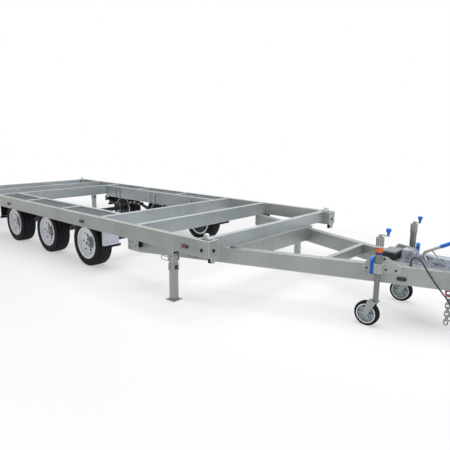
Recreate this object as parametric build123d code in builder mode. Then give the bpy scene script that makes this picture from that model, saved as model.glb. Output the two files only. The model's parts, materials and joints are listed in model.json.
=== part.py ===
"""Container trailer: a three-axle skeletal trailer with twist locks for a twenty-foot box.

Millimetres, X forward to the coupling, Y to the left, Z up, ground at Z = 0.
"""
import os
from math import atan, cos, degrees, pi, radians, sin, sqrt, tan

from build123d import *

# Container footprint and main frame
lock_spacing_x = 5853.0
lock_spacing_y = 2259.0
lock_edge = 70.5
rail_width = 60.0
rail_depth = 160.0
rail_wall = 5.0
inner_rail_inset = 350.0
inner_rail_depth = 200.0
outrigger_width = 50.0
front_member_depth = 130.0
front_member_setback = 30.0

# Corner housings and twist locks
housing_length = 180.0
housing_width = 140.0
housing_wall = 8.0
housing_hole_radius = 12.0
housing_hole_drop = 95.0
pocket_length = 124.0
pocket_width = 78.0
pocket_depth = 60.0
lug_width = 70.0
lug_drop = 58.0
lock_stem_radius = 18.0
lock_stem_clearance = 1.0
lock_collar_length = 92.0
lock_collar_width = 54.0
lock_collar_rise = 12.0
lock_cone_height = 44.0
lock_cone_inset = 4.0
lock_cone_top_length = 48.0
lock_cone_top_width = 34.0
lock_handle_length = 150.0
lock_handle_width = 24.0
lock_handle_height = 16.0
lock_handle_gap = 6.0

# Cross members, as distances behind the front lock line
cross_member_back = (1040.0, 1720.0, 4560.0, 5240.0)

# Drawbar: two beams that meet at the nose
nose_reach = 2250.0
drawbar_slope = 0.342
drawbar_inset = 456.0
drawbar_beam_width = 80.0
drawbar_beam_depth = 160.0
drawbar_beam_wall = 6.0
drawbar_rear_back = 1080.0
drawbar_setback = 450.0
lower_beam_depth = 170.0
lower_beam_width = 90.0
lower_beam_overhang = 40.0
drawbar_brace_reach = 860.0
drawbar_brace_width = 50.0
drawbar_brace_depth = 100.0
end_bracket_length = 180.0
end_bracket_depth = 120.0
end_bracket_wall = 8.0
end_bracket_slot_length = 60.0
end_bracket_slot_width = 22.0
nose_plate_length = 550.0
nose_plate_thickness = 10.0
nose_block_length = 100.0
nose_block_wall = 8.0

# Road wheels and axles
axle_spacing = 1005.0
first_axle_back = 2130.0
tyre_diameter = 600.0
tyre_width = 205.0
tyre_seat_gap = 0.2
tyre_shoulder_width = 24.0
tyre_shoulder_drop = 18.0
tyre_wall_inset = 6.0
tyre_bead_rise = 2.0
tyre_bead_gap = 0.5
wheel_inset = 185.0
rim_seat_radius = 190.0
rim_flange_radius = 203.0
rim_flange_thickness = 6.0
rim_width = 190.0
rim_wall = 8.0
disc_thickness = 8.0
disc_edge_offset = 58.0
disc_shoulder_offset = 52.0
disc_shoulder_radius = 164.0
disc_flat_offset = 30.0
disc_flat_radius = 128.0
disc_hole_count = 8
disc_hole_radius = 19.0
disc_hole_rounding = 4.0
disc_hole_circle = 145.0
hub_radius = 48.0
hub_flange_radius = 78.0
hub_flange_thickness = 14.0
hub_back = 90.0
hub_front = 42.0
cap_radius = 33.0
cap_length = 28.0
cap_rounding = 8.0
drum_radius = 122.0
drum_wall = 10.0
spindle_radius = 20.0
spindle_clearance = 0.05
spindle_end_gap = 5.0
axle_square = 60.0
backing_radius = 166.0
backing_thickness = 6.0
backing_gap = 6.0

# Leaf springs, rockers and clamps
spring_half_length = 380.0
spring_camber = 55.0
leaf_thickness = 9.0
leaf_width = 55.0
leaf_setbacks = (0.0, 30.0, 90.0, 150.0, 210.0, 270.0)
eye_radius = 22.0
eye_bolt_radius = 12.0
eye_clearance = 0.2
spring_seat_height = 12.0
spring_seat_length = 130.0
clamp_plate_thickness = 10.0
clamp_rod_radius = 6.0
clamp_rod_half_pitch = 50.0
clamp_rod_gap = 2.0
clamp_overhang = 14.0
hanger_drop = 48.5
hanger_wall = 8.0
hanger_gap = 3.0
hanger_length = 70.0
rocker_wall = 8.0
rocker_height = 44.0
rocker_rise = 14.0

# Brake wires from the inner rails down to the axles
wire_radius = 3.0
wire_bend = 25.0
wire_spread = 60.0
wire_foot_spread = 12.0
wire_face_rise = 25.0
wire_face_length = 140.0
wire_foot_inset = 85.0
wire_foot_rise = 42.0
wire_middle_inset = 55.0
wire_middle_rise = 90.0

# Wheel guards and aprons
guard_thickness = 4.0
guard_drop = 14.0
apron_thickness = 4.0
apron_drop = 195.0
apron_lip = 40.0
apron_gap = 10.0

# Corner stands
stand_front_back = 430.0
stand_rear_back = 5500.0
stand_pivot_drop = 70.0
stand_tube = 65.0
stand_collar_size = 76.0
stand_collar_top = 80.0
stand_collar_height = 72.0
stand_collar_window = 44.0
stand_foot_size = 120.0
stand_foot_thickness = 8.0
stand_cheek = 6.0
stand_side_gap = 6.0
stand_bracket_length = 80.0
stand_bracket_depth = 130.0
stand_bracket_lap = 55.0
stand_bracket_corner = 26.0
stand_pin_radius = 10.0
stand_pin_clearance = 0.05
stand_handle_radius = 4.0
stand_handle_length = 130.0
stand_handle_height = 40.0
stand_handle_bend = 16.0
stand_handle_weld = 0.8

# Jockey wheels
jockey_setback = 433.0
jockey_beam_gap = 136.5
jockey_tube_radius = 30.0
jockey_tube_drop = 65.0
jockey_tube_rise = 280.0
jockey_sleeve_radius = 33.0
jockey_sleeve_length = 90.0
jockey_bore_radius = 24.5
jockey_cap_thickness = 8.0
jockey_leg_radius = 24.0
jockey_leg_bore = 19.0
jockey_leg_overlap = 130.0
fork_tyre_gap = 6.0
fork_stem_clearance = 0.05
fork_stem_length = 14.0
fork_crown_height = 8.0
fork_face_gap = 0.3
fork_cheek_gap = 6.0
fork_cheek = 5.0
fork_trail = 70.0
jockey_wheel_diameter = 224.0
jockey_tyre_width = 58.0
jockey_tyre_section = 24.0
jockey_tyre_gap = 0.1
jockey_rim_width = 46.0
jockey_rim_wall = 6.0
jockey_web = 8.0
jockey_spoke_count = 6
jockey_spoke_width = 7.0
jockey_pin_radius = 8.0
jockey_pin_clearance = 0.05
jockey_hub_radius = 24.0
clamp_ring_wall = 12.0
clamp_ring_height = 80.0
clamp_ring_drop = 35.0
clamp_ring_clearance = 0.2
clamp_arm_width = 46.0
gusset_thickness = 6.0
gusset_rise = 80.0
gusset_drop = 60.0
gusset_top_half = 62.0
gusset_back = 135.0
gusset_front = 180.0
crank_neck_radius = 12.0
crank_cap_height = 24.0
crank_arm_length = 66.0
crank_arm_thickness = 8.0
knob_radius = 23.0
knob_height = 62.0
knob_foot = 9.0
clamp_grip_radius = 14.0
clamp_grip_length = 158.0
clamp_grip_drop = 25.0

# Coupling, brake lever and battery box
coupling_body_length = 420.0
coupling_body_width = 96.0
coupling_body_height = 86.0
coupling_flange_width = 158.0
coupling_flange_thickness = 14.0
coupling_rounding = 8.0
cover_back = 65.0
cover_length = 115.0
cover_width = 118.0
cover_height = 108.0
cover_slope = 26.0
draw_tube_radius = 30.0
draw_tube_length = 160.0
head_length = 170.0
head_width = 92.0
head_height = 84.0
ball_radius = 25.0
ball_clearance = 0.4
ball_setback = 62.0
ball_depth = 30.0
lever_radius = 12.0
lever_y = -64.0
lever_bend = 30.0
lever_foot_ahead = 155.0
lever_elbow_ahead = 117.0
lever_elbow_rise = 110.0
lever_end_ahead = 260.0
lever_end_rise = 190.0
stay_foot_ahead = 290.0
grip_radius = 18.0
grip_length = 150.0
strut_radius = 6.0
box_ahead = 20.0
box_length = 120.0
box_width = 190.0
box_height = 66.0
box_rounding = 12.0
lid_height = 16.0
lid_overhang = 4.0

# Lamps
side_lamp_back = (219.0, 2053.0, 4094.0)
side_lamp_rise = 67.0
side_lamp_length = 84.0
side_lamp_width = 32.0
side_lamp_depth = 12.0
beam_lamp_setback = 288.0
tail_lamp_width = 240.0
tail_lamp_height = 90.0
tail_lamp_depth = 40.0
tail_lamp_inset = 400.0
tail_lamp_rounding = 12.0

# Safety chains
chain_pitch = 42.0
chain_wire = 12.0
chain_link_width = 44.0
chain_link_count = 7
chain_gap = 0.3
chain_y = 58.0
chain_eye_drop = 40.0
chain_eye_root = 60.0
chain_eye_hole = 18.0
chain_eye_wall = 12.0

# Tow lead: a 13 mm cable from the drawbar to a coil beside the nose
lead_radius = 6.5
coil_reach = 2100.0
coil_y = -100.0
coil_mean_radius = 66.0
coil_height = 40.0
coil_band = 28.0
plug_radius = 21.0
plug_length = 80.0
plug_tail = 30.0
plug_tail_step = 4.0
plug_tail_wall = 2.0
gland_radius = 14.0
ground_gap = 0.5

# Places that follow from the sizes above
half_width = lock_spacing_y / 2 + lock_edge
front_lock_x = (lock_spacing_x + housing_length / 2 - nose_reach) / 2
rear_lock_x = front_lock_x - lock_spacing_x
rail_inner_y = half_width - rail_width
inner_rail_y = half_width - inner_rail_inset
wheel_y = half_width - wheel_inset
axle_z = tyre_diameter / 2
seat_top = axle_z + axle_square / 2 + spring_seat_height
stack_height = leaf_thickness * len(leaf_setbacks)
main_leaf_z = seat_top + stack_height - leaf_thickness / 2
eye_z = main_leaf_z + spring_camber
inner_rail_bottom = eye_z + hanger_drop
deck_height = inner_rail_bottom + inner_rail_depth
rail_bottom = deck_height - rail_depth
axle_places = {
    "front": front_lock_x - first_axle_back,
    "mid": front_lock_x - first_axle_back - axle_spacing,
    "rear": front_lock_x - first_axle_back - 2 * axle_spacing,
}
sides = {"left": 1, "right": -1}
drawbar_bottom = rail_bottom - drawbar_beam_depth
drawbar_half_width = half_width - drawbar_inset
nose_x = front_lock_x + nose_reach
beam_front_x = nose_x - drawbar_setback
beam_angle = atan(drawbar_slope)
os.makedirs("parts", exist_ok=True)


def write(piece, name):
    piece.label = name
    export_step(piece, f"parts/{name}.step")


def box_tube(start, end, width, depth, wall):
    """Rectangular hollow section along the line from start to end, depth in Z."""
    run = Vector(*end) - Vector(*start)
    across = Vector(0, 0, 1).cross(run).normalized()
    with BuildPart() as tube:
        with BuildSketch(Plane(origin=start, x_dir=across, z_dir=run)):
            Rectangle(width, depth)
            if wall:
                Rectangle(width - 2 * wall, depth - 2 * wall, mode=Mode.SUBTRACT)
        extrude(amount=run.length)
    return tube.part


# Side rails run between the corner housings
with BuildPart() as side_rails:
    for side in sides.values():
        rail_y = side * (half_width - rail_width / 2)
        rail_z = deck_height - rail_depth / 2
        add(box_tube((rear_lock_x + housing_length / 2, rail_y, rail_z),
                     (front_lock_x - housing_length / 2, rail_y, rail_z),
                     rail_width, rail_depth, rail_wall))
write(side_rails.part, "side_rails")

# End members close the frame between the corner housings, the front one shallower and set back
end_member_rows = (  # place along the trailer, depth
    (front_lock_x - front_member_setback, front_member_depth),
    (rear_lock_x, rail_depth),
)
housing_inner_y = half_width - housing_width
with BuildPart() as end_members:
    for member_x, depth in end_member_rows:
        member_z = deck_height - depth / 2
        add(box_tube((member_x, -housing_inner_y, member_z), (member_x, housing_inner_y, member_z),
                     rail_width, depth, rail_wall))
write(end_members.part, "end_members")

# Cross members span the side rails, and outriggers tie side rail to inner rail between the wheels
cross_member_x = [front_lock_x - back for back in cross_member_back]
outrigger_x = [axle_places["front"] - axle_spacing / 2, axle_places["mid"] - axle_spacing / 2]
inner_rail_outside = inner_rail_y + rail_width / 2
with BuildPart() as cross_members:
    member_z = deck_height - rail_depth / 2
    for member_x in cross_member_x:
        add(box_tube((member_x, -rail_inner_y, member_z), (member_x, rail_inner_y, member_z),
                     rail_width, rail_depth, rail_wall))
    for member_x in outrigger_x:
        for side in sides.values():
            add(box_tube((member_x, side * inner_rail_outside, member_z),
                         (member_x, side * rail_inner_y, member_z),
                         outrigger_width, rail_depth, rail_wall))
write(cross_members.part, "cross_members")

# Inner rails carry the springs between the second and third cross members
inner_front_x = cross_member_x[1] - rail_width / 2
inner_rear_x = cross_member_x[2] + rail_width / 2
with BuildPart() as inner_rails:
    for side in sides.values():
        rail_z = deck_height - inner_rail_depth / 2
        add(box_tube((inner_rear_x, side * inner_rail_y, rail_z),
                     (inner_front_x, side * inner_rail_y, rail_z),
                     rail_width, inner_rail_depth, rail_wall))
write(inner_rails.part, "inner_rails")

# Corner housings: open below, with a pocket for the lock, a hole in two faces and a lug under the end
lock_rows = [(lock_x, ahead, side) for lock_x, ahead in ((front_lock_x, 1), (rear_lock_x, -1))
             for side in sides.values()]
pocket_floor = deck_height - pocket_depth
with BuildPart() as corner_housings:
    for lock_x, ahead, side in lock_rows:
        centre = (lock_x, side * (half_width - housing_width / 2))
        lock_place = (lock_x, side * lock_spacing_y / 2)
        inner_size = (housing_length - 2 * housing_wall, housing_width - 2 * housing_wall)
        with BuildSketch(Plane.XY.offset(rail_bottom)):
            with Locations(centre):
                Rectangle(housing_length, housing_width)
                Rectangle(*inner_size, mode=Mode.SUBTRACT)
        extrude(amount=rail_depth)
        with BuildSketch(Plane.XY.offset(deck_height - housing_wall)):
            with Locations(centre):
                Rectangle(housing_length, housing_width)
            with Locations(lock_place):
                Rectangle(pocket_length, pocket_width, mode=Mode.SUBTRACT)
        extrude(amount=housing_wall)
        with BuildSketch(Plane.XY.offset(pocket_floor - housing_wall)):
            with Locations(centre):
                Rectangle(housing_length - housing_wall, housing_width - housing_wall)
            with Locations(lock_place):
                Circle(lock_stem_radius + lock_stem_clearance, mode=Mode.SUBTRACT)
        extrude(amount=housing_wall)
        end_x = lock_x + ahead * (housing_length / 2 - housing_wall / 2)
        with BuildSketch(Plane.YZ.offset(end_x - housing_wall / 2)):
            with Locations((centre[1], rail_bottom - (lug_drop - lug_width / 2) / 2)):
                Rectangle(lug_width, lug_drop - lug_width / 2)
            with Locations((centre[1], rail_bottom - lug_drop + lug_width / 2)):
                Circle(lug_width / 2)
            with Locations((centre[1], rail_bottom + lug_width / 4)):
                Rectangle(lug_width, lug_width / 2)
        extrude(amount=housing_wall)
    for lock_x, ahead, side in lock_rows:
        centre_y = side * (half_width - housing_width / 2)
        hole_z = deck_height - housing_hole_drop
        with Locations(Location((lock_x + ahead * housing_length / 2, centre_y, hole_z), (0, 90, 0))):
            Cylinder(housing_hole_radius, 4 * housing_wall, mode=Mode.SUBTRACT)
        with Locations(Location((lock_x, side * half_width, hole_z), (90, 0, 0))):
            Cylinder(housing_hole_radius, 4 * housing_wall, mode=Mode.SUBTRACT)
write(corner_housings.part, "corner_housings")

# Twist locks: a collar that stands on the pocket's floor, a tapered head above it, stem and handle below
handle_bottom = pocket_floor - housing_wall - lock_handle_gap - lock_handle_height
cone_base = deck_height + lock_collar_rise
with BuildPart() as twist_locks:
    for lock_x, ahead, side in lock_rows:
        lock_place = (lock_x, side * lock_spacing_y / 2)
        with BuildSketch(Plane.XY.offset(pocket_floor)):
            with Locations(lock_place):
                SlotOverall(lock_collar_length, lock_collar_width)
        extrude(amount=pocket_depth + lock_collar_rise)
        with BuildSketch(Plane.XY.offset(cone_base)):
            with Locations(lock_place):
                SlotOverall(lock_collar_length - 2 * lock_cone_inset, lock_collar_width - 2 * lock_cone_inset)
        with BuildSketch(Plane.XY.offset(cone_base + lock_cone_height)):
            with Locations(lock_place):
                SlotOverall(lock_cone_top_length, lock_cone_top_width)
        loft()
        with BuildSketch(Plane.XY.offset(handle_bottom)):
            with Locations(lock_place):
                Circle(lock_stem_radius)
        extrude(amount=pocket_floor - handle_bottom)
        with BuildSketch(Plane.XY.offset(handle_bottom)):
            with Locations(lock_place):
                SlotOverall(lock_handle_length, lock_handle_width)
        extrude(amount=lock_handle_height)
    chamfer(twist_locks.faces().filter_by(Axis.Z).group_by(Axis.Z)[-1].edges(), lock_cone_top_width / 5)
write(twist_locks.part, "twist_locks")


def beam_y(x):
    """Outer face of the left drawbar beam at a place along the trailer."""
    return drawbar_half_width - drawbar_slope * (x - front_lock_x)


# Drawbar beams: mitred square to the trailer at both ends
beam_skew = drawbar_beam_width / cos(beam_angle)
beam_rear_x = front_lock_x - drawbar_rear_back


def beam_envelope(side, inset):
    """One drawbar beam's outline in plan, drawn in by a wall and raised to its depth."""
    skew_inset = inset / cos(beam_angle)
    corners = [
        (beam_rear_x, side * (beam_y(beam_rear_x) - skew_inset)),
        (beam_front_x, side * (beam_y(beam_front_x) - skew_inset)),
        (beam_front_x, side * (beam_y(beam_front_x) - beam_skew + skew_inset)),
        (beam_rear_x, side * (beam_y(beam_rear_x) - beam_skew + skew_inset)),
    ]
    with BuildPart() as beam:
        with BuildSketch(Plane.XY.offset(drawbar_bottom + inset)):
            Polygon(*corners, align=None)
        extrude(amount=drawbar_beam_depth - 2 * inset)
    return beam.part


with BuildPart() as drawbar_beams:
    for side in sides.values():
        add(beam_envelope(side, 0))
        add(beam_envelope(side, drawbar_beam_wall), mode=Mode.SUBTRACT)
write(drawbar_beams.part, "drawbar_beams")

# Lower cross beam under the front end member and a brace ahead of it, both between the drawbar beams
lower_x = front_lock_x + lower_beam_overhang - lower_beam_width / 2
brace_x = front_lock_x + drawbar_brace_reach
with BuildPart() as drawbar_cross_members:
    lower_z = deck_height - front_member_depth - lower_beam_depth / 2
    lower_reach = beam_y(lower_x + lower_beam_width / 2)
    add(box_tube((lower_x, -lower_reach, lower_z), (lower_x, lower_reach, lower_z),
                 lower_beam_width, lower_beam_depth, 0))
    brace_reach = beam_y(brace_x + drawbar_brace_width / 2) - beam_skew / 2
    brace_z = rail_bottom - drawbar_brace_depth / 2
    add(box_tube((brace_x, -brace_reach, brace_z), (brace_x, brace_reach, brace_z),
                 drawbar_brace_width, drawbar_brace_depth, 0))
    for side in sides.values():
        add(beam_envelope(side, 0), mode=Mode.SUBTRACT)
write(drawbar_cross_members.part, "drawbar_cross_members")

# End brackets hang under the side rails where the drawbar beams end
with BuildPart() as drawbar_end_brackets:
    bracket_x = front_lock_x - cross_member_back[0]
    for side in sides.values():
        with BuildSketch(Plane.XY.offset(rail_bottom - end_bracket_depth)):
            with Locations((bracket_x, side * (half_width - end_bracket_wall / 2))):
                Rectangle(end_bracket_length, end_bracket_wall)
            web_outer = half_width - end_bracket_wall / 2
            web_inner = beam_y(bracket_x + end_bracket_wall)
            with Locations((bracket_x, side * (web_outer + web_inner) / 2)):
                Rectangle(end_bracket_wall, web_outer - web_inner)
        extrude(amount=end_bracket_depth)
        slot_plane = Plane(origin=(bracket_x, side * half_width, rail_bottom - end_bracket_depth / 2),
                           x_dir=(1, 0, 0), z_dir=(0, side, 0))
        with BuildSketch(slot_plane):
            with Locations((end_bracket_length / 4, 0)):
                SlotOverall(end_bracket_slot_length, end_bracket_slot_width, rotation=45)
        extrude(amount=-2 * end_bracket_wall, mode=Mode.SUBTRACT)
    for side in sides.values():
        add(beam_envelope(side, 0), mode=Mode.SUBTRACT)
write(drawbar_end_brackets.part, "drawbar_end_brackets")

# Nose plate lies on both drawbar beams, and a hollow block under it closes the beams' front ends
plate_rear_x = beam_front_x - nose_plate_length
block_front_x = beam_front_x + nose_block_length
block_inner_x = block_front_x - nose_block_wall
block_skew = nose_block_wall / cos(beam_angle)
plate_top = rail_bottom + nose_plate_thickness
with BuildPart() as nose_plate:
    with BuildSketch(Plane.XY.offset(rail_bottom)):
        Polygon((plate_rear_x, beam_y(plate_rear_x)), (block_front_x, beam_y(block_front_x)),
                (block_front_x, -beam_y(block_front_x)), (plate_rear_x, -beam_y(plate_rear_x)), align=None)
    extrude(amount=nose_plate_thickness)
    with BuildSketch(Plane.XY.offset(drawbar_bottom)):
        Polygon((beam_front_x, beam_y(beam_front_x)), (block_front_x, beam_y(block_front_x)),
                (block_front_x, -beam_y(block_front_x)), (beam_front_x, -beam_y(beam_front_x)), align=None)
        Polygon((beam_front_x, beam_y(beam_front_x) - block_skew),
                (block_inner_x, beam_y(block_inner_x) - block_skew),
                (block_inner_x, block_skew - beam_y(block_inner_x)),
                (beam_front_x, block_skew - beam_y(beam_front_x)), align=None, mode=Mode.SUBTRACT)
    extrude(amount=drawbar_beam_depth)
write(nose_plate.part, "nose_plate")

# Wheel guards: flat plates over the tyres, between the rails
guard_z = deck_height - guard_drop - guard_thickness
guard_bays = [
    (outrigger_x[0] + outrigger_width / 2, inner_front_x),
    (outrigger_x[1] + outrigger_width / 2, outrigger_x[0] - outrigger_width / 2),
    (inner_rear_x, outrigger_x[1] - outrigger_width / 2),
]
with BuildPart() as wheel_guards:
    for bay_rear, bay_front in guard_bays:
        for side in sides.values():
            with BuildSketch(Plane.XY.offset(guard_z)):
                with Locations(((bay_rear + bay_front) / 2, side * (inner_rail_outside + rail_inner_y) / 2)):
                    Rectangle(bay_front - bay_rear, rail_inner_y - inner_rail_outside)
            extrude(amount=guard_thickness)
write(wheel_guards.part, "wheel_guards")

# Aprons hang ahead of the front wheels and behind the rear wheels, with a lip turned away
apron_inner_y = wheel_y - tyre_width / 2 - apron_gap
apron_bottom = rail_bottom - apron_drop
with BuildPart() as guard_aprons:
    for face_x, turn in ((cross_member_x[1], 1), (cross_member_x[2], -1)):
        for side in sides.values():
            with BuildSketch(Plane.XZ.offset(-side * apron_inner_y)):
                with BuildLine():
                    Polyline((face_x, rail_bottom), (face_x, apron_bottom),
                             (face_x + turn * apron_lip, apron_bottom),
                             (face_x + turn * apron_lip, apron_bottom + apron_thickness),
                             (face_x + turn * apron_thickness, apron_bottom + apron_thickness),
                             (face_x + turn * apron_thickness, rail_bottom), close=True)
                make_face()
            extrude(amount=-side * (rail_inner_y - apron_inner_y))
write(guard_aprons.part, "guard_aprons")

# Axles: square beams with spring seats, brake backing plates and wheel spindles
backing_y = wheel_y - hub_back - backing_gap - backing_thickness
spindle_y = wheel_y + hub_front - spindle_end_gap
with BuildPart() as axles:
    for axle_x in axle_places.values():
        with Locations((axle_x, 0, axle_z)):
            Box(axle_square, 2 * backing_y, axle_square)
        for side in sides.values():
            with BuildSketch(Plane.XZ.offset(-side * backing_y)):
                with Locations((axle_x, axle_z)):
                    Circle(backing_radius)
            extrude(amount=-side * backing_thickness)
            with BuildSketch(Plane.XZ.offset(-side * backing_y)):
                with Locations((axle_x, axle_z)):
                    Circle(spindle_radius)
            extrude(amount=-side * (spindle_y - backing_y))
            with Locations((axle_x, side * inner_rail_y, axle_z + (axle_square + spring_seat_height) / 2)):
                Box(spring_seat_length, leaf_width, spring_seat_height)
write(axles.part, "axles")

# Leaf springs: a stack of leaves on one centre, with an eye at each end of the top leaf
spring_radius = (spring_half_length ** 2 + spring_camber ** 2) / (2 * spring_camber)


def leaf_point(half_length, radius, turn):
    """Point on an arc about the springs' common centre, half_length from the middle."""
    return (turn * half_length, main_leaf_z + spring_radius - sqrt(radius ** 2 - half_length ** 2))


with BuildPart() as one_spring:
    for order, setback in enumerate(leaf_setbacks):
        half_length = spring_half_length - setback
        upper = spring_radius + leaf_thickness * (order - 0.5)
        lower = upper + leaf_thickness
        with BuildSketch(Plane.XZ.offset(leaf_width / 2)):
            with BuildLine():
                ThreePointArc(leaf_point(half_length, upper, -1), leaf_point(0, upper, 1),
                              leaf_point(half_length, upper, 1))
                Line(leaf_point(half_length, upper, 1), leaf_point(half_length, lower, 1))
                ThreePointArc(leaf_point(half_length, lower, 1), leaf_point(0, lower, 1),
                              leaf_point(half_length, lower, -1))
                Line(leaf_point(half_length, lower, -1), leaf_point(half_length, upper, -1))
            make_face()
        extrude(amount=-leaf_width)
    for turn in (-1, 1):
        with BuildSketch(Plane.XZ.offset(leaf_width / 2)):
            with Locations((turn * spring_half_length, eye_z)):
                Circle(eye_radius)
        extrude(amount=-leaf_width)
        with BuildSketch(Plane.XZ.offset(leaf_width / 2)):
            with Locations((turn * spring_half_length, eye_z)):
                Circle(eye_bolt_radius + eye_clearance)
        extrude(amount=-leaf_width, mode=Mode.SUBTRACT)

with BuildPart() as leaf_springs:
    for axle_x in axle_places.values():
        for side in sides.values():
            add(one_spring.part.moved(Location((axle_x, side * inner_rail_y, 0))))
write(leaf_springs.part, "leaf_springs")

# Spring clamps: a plate above, a plate below and four rods, round spring and axle
clamp_bottom = axle_z - axle_square / 2
clamp_half_y = leaf_width / 2 + clamp_rod_radius + clamp_rod_gap
clamp_length = 2 * (clamp_rod_half_pitch + clamp_overhang)
top_leaf_radius = spring_radius - leaf_thickness / 2
clamp_rise = top_leaf_radius - sqrt(top_leaf_radius ** 2 - (clamp_length / 2) ** 2)
clamp_top = seat_top + stack_height + clamp_rise
clamp_breadth = 2 * (clamp_half_y + clamp_overhang)
with BuildPart() as one_clamp:
    with BuildSketch(Plane.XY.offset(clamp_top)):
        Rectangle(clamp_length, clamp_breadth)
    extrude(amount=clamp_plate_thickness)
    with BuildSketch(Plane.XY.offset(clamp_bottom)):
        Rectangle(clamp_length, clamp_breadth)
    extrude(amount=-clamp_plate_thickness)
    with BuildSketch(Plane.XY.offset(clamp_bottom)):
        with GridLocations(2 * clamp_rod_half_pitch, 2 * clamp_half_y, 2, 2):
            Circle(clamp_rod_radius)
    extrude(amount=clamp_top - clamp_bottom)

with BuildPart() as spring_clamps:
    for axle_x in axle_places.values():
        for side in sides.values():
            add(one_clamp.part.moved(Location((axle_x, side * inner_rail_y, 0))))
write(spring_clamps.part, "spring_clamps")

# End hangers: two cheeks under the inner rail with the eye bolt between them
hanger_half_y = leaf_width / 2 + hanger_gap
hanger_bottom = eye_z - hanger_length / 2
end_hanger_x = [axle_places["front"] + spring_half_length, axle_places["rear"] - spring_half_length]
rocker_x = [(axle_places["front"] + axle_places["mid"]) / 2, (axle_places["mid"] + axle_places["rear"]) / 2]
rocker_pivot_z = eye_z + rocker_rise
with BuildPart() as spring_hangers:
    for hanger_x in end_hanger_x:
        for side in sides.values():
            for cheek in (-1, 1):
                cheek_y = side * inner_rail_y + cheek * (hanger_half_y + hanger_wall / 2)
                with BuildSketch(Plane.XZ.offset(-cheek_y - hanger_wall / 2)):
                    with Locations((hanger_x, (hanger_bottom + inner_rail_bottom) / 2)):
                        Rectangle(hanger_length, inner_rail_bottom - hanger_bottom)
                extrude(amount=hanger_wall)
            with Locations(Location((hanger_x, side * inner_rail_y, eye_z), (90, 0, 0))):
                Cylinder(eye_bolt_radius, 2 * (hanger_half_y + hanger_wall) + 2 * eye_bolt_radius)
    for pivot_x in rocker_x:
        for side in sides.values():
            with BuildSketch(Plane.XZ.offset(-side * inner_rail_y + leaf_width / 2)):
                with Locations((pivot_x, (rocker_pivot_z + inner_rail_bottom) / 2)):
                    Rectangle(hanger_length, inner_rail_bottom - rocker_pivot_z)
                with Locations((pivot_x, rocker_pivot_z)):
                    Circle(hanger_length / 2)
            extrude(amount=-leaf_width)
            with Locations(Location((pivot_x, side * inner_rail_y, rocker_pivot_z), (90, 0, 0))):
                Cylinder(eye_bolt_radius, 2 * (hanger_half_y + rocker_wall) + 2 * eye_bolt_radius)
    hanger_ceiling = Plane.XY.offset(inner_rail_bottom)
    split(bisect_by=hanger_ceiling, keep=Keep.BOTTOM)
write(spring_hangers.part, "spring_hangers")

# Rockers join the springs of neighbouring axles: two plates with a bolt through each spring eye
rocker_half = axle_spacing / 2 - spring_half_length
with BuildPart() as one_rocker:
    for cheek in (-1, 1):
        cheek_y = cheek * (hanger_half_y + rocker_wall / 2)
        with BuildSketch(Plane.XZ.offset(-cheek_y - rocker_wall / 2)):
            with BuildLine():
                Polyline((-rocker_half - rocker_height / 2, eye_z - rocker_height / 2),
                         (rocker_half + rocker_height / 2, eye_z - rocker_height / 2),
                         (rocker_half + rocker_height / 2, eye_z + rocker_height / 4),
                         (0, rocker_pivot_z + rocker_height / 2),
                         (-rocker_half - rocker_height / 2, eye_z + rocker_height / 4), close=True)
            make_face()
            with Locations((0, rocker_pivot_z)):
                Circle(eye_bolt_radius + eye_clearance, mode=Mode.SUBTRACT)
        extrude(amount=rocker_wall)
    for turn in (-1, 1):
        with Locations(Location((turn * rocker_half, 0, eye_z), (90, 0, 0))):
            Cylinder(eye_bolt_radius, 2 * (hanger_half_y + rocker_wall) + 2 * eye_bolt_radius)

with BuildPart() as spring_rockers:
    for pivot_x in rocker_x:
        for side in sides.values():
            add(one_rocker.part.moved(Location((pivot_x, side * inner_rail_y, 0))))
write(spring_rockers.part, "spring_rockers")

# Brake wires run down each inner rail's inner face and on to the axle, in pairs
wire_face_y = inner_rail_y - rail_width / 2 - wire_radius
with BuildPart() as brake_wires:
    for axle_x in axle_places.values():
        for side in sides.values():
            for lean in (-1, 1):
                face_x = axle_x + lean * wire_spread
                foot_x = axle_x + lean * wire_foot_spread
                face_low = inner_rail_bottom + wire_face_rise
                axle_top = axle_z + axle_square / 2
                middle_y = inner_rail_y - wire_middle_inset
                foot_y = inner_rail_y - wire_foot_inset
                wire_points = [
                    (face_x, side * wire_face_y, face_low + wire_face_length),
                    (face_x, side * wire_face_y, face_low),
                    ((face_x + foot_x) / 2, side * middle_y, axle_top + wire_middle_rise),
                    (foot_x, side * foot_y, axle_top + wire_foot_rise),
                    (foot_x, side * foot_y, axle_top),
                ]
                with BuildLine():
                    wire_path = FilletPolyline(*wire_points, radius=wire_bend)
                with BuildSketch(Plane(origin=wire_path @ 0, z_dir=wire_path % 0)):
                    Circle(wire_radius)
                sweep(path=wire_path)
write(brake_wires.part, "brake_wires")

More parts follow.
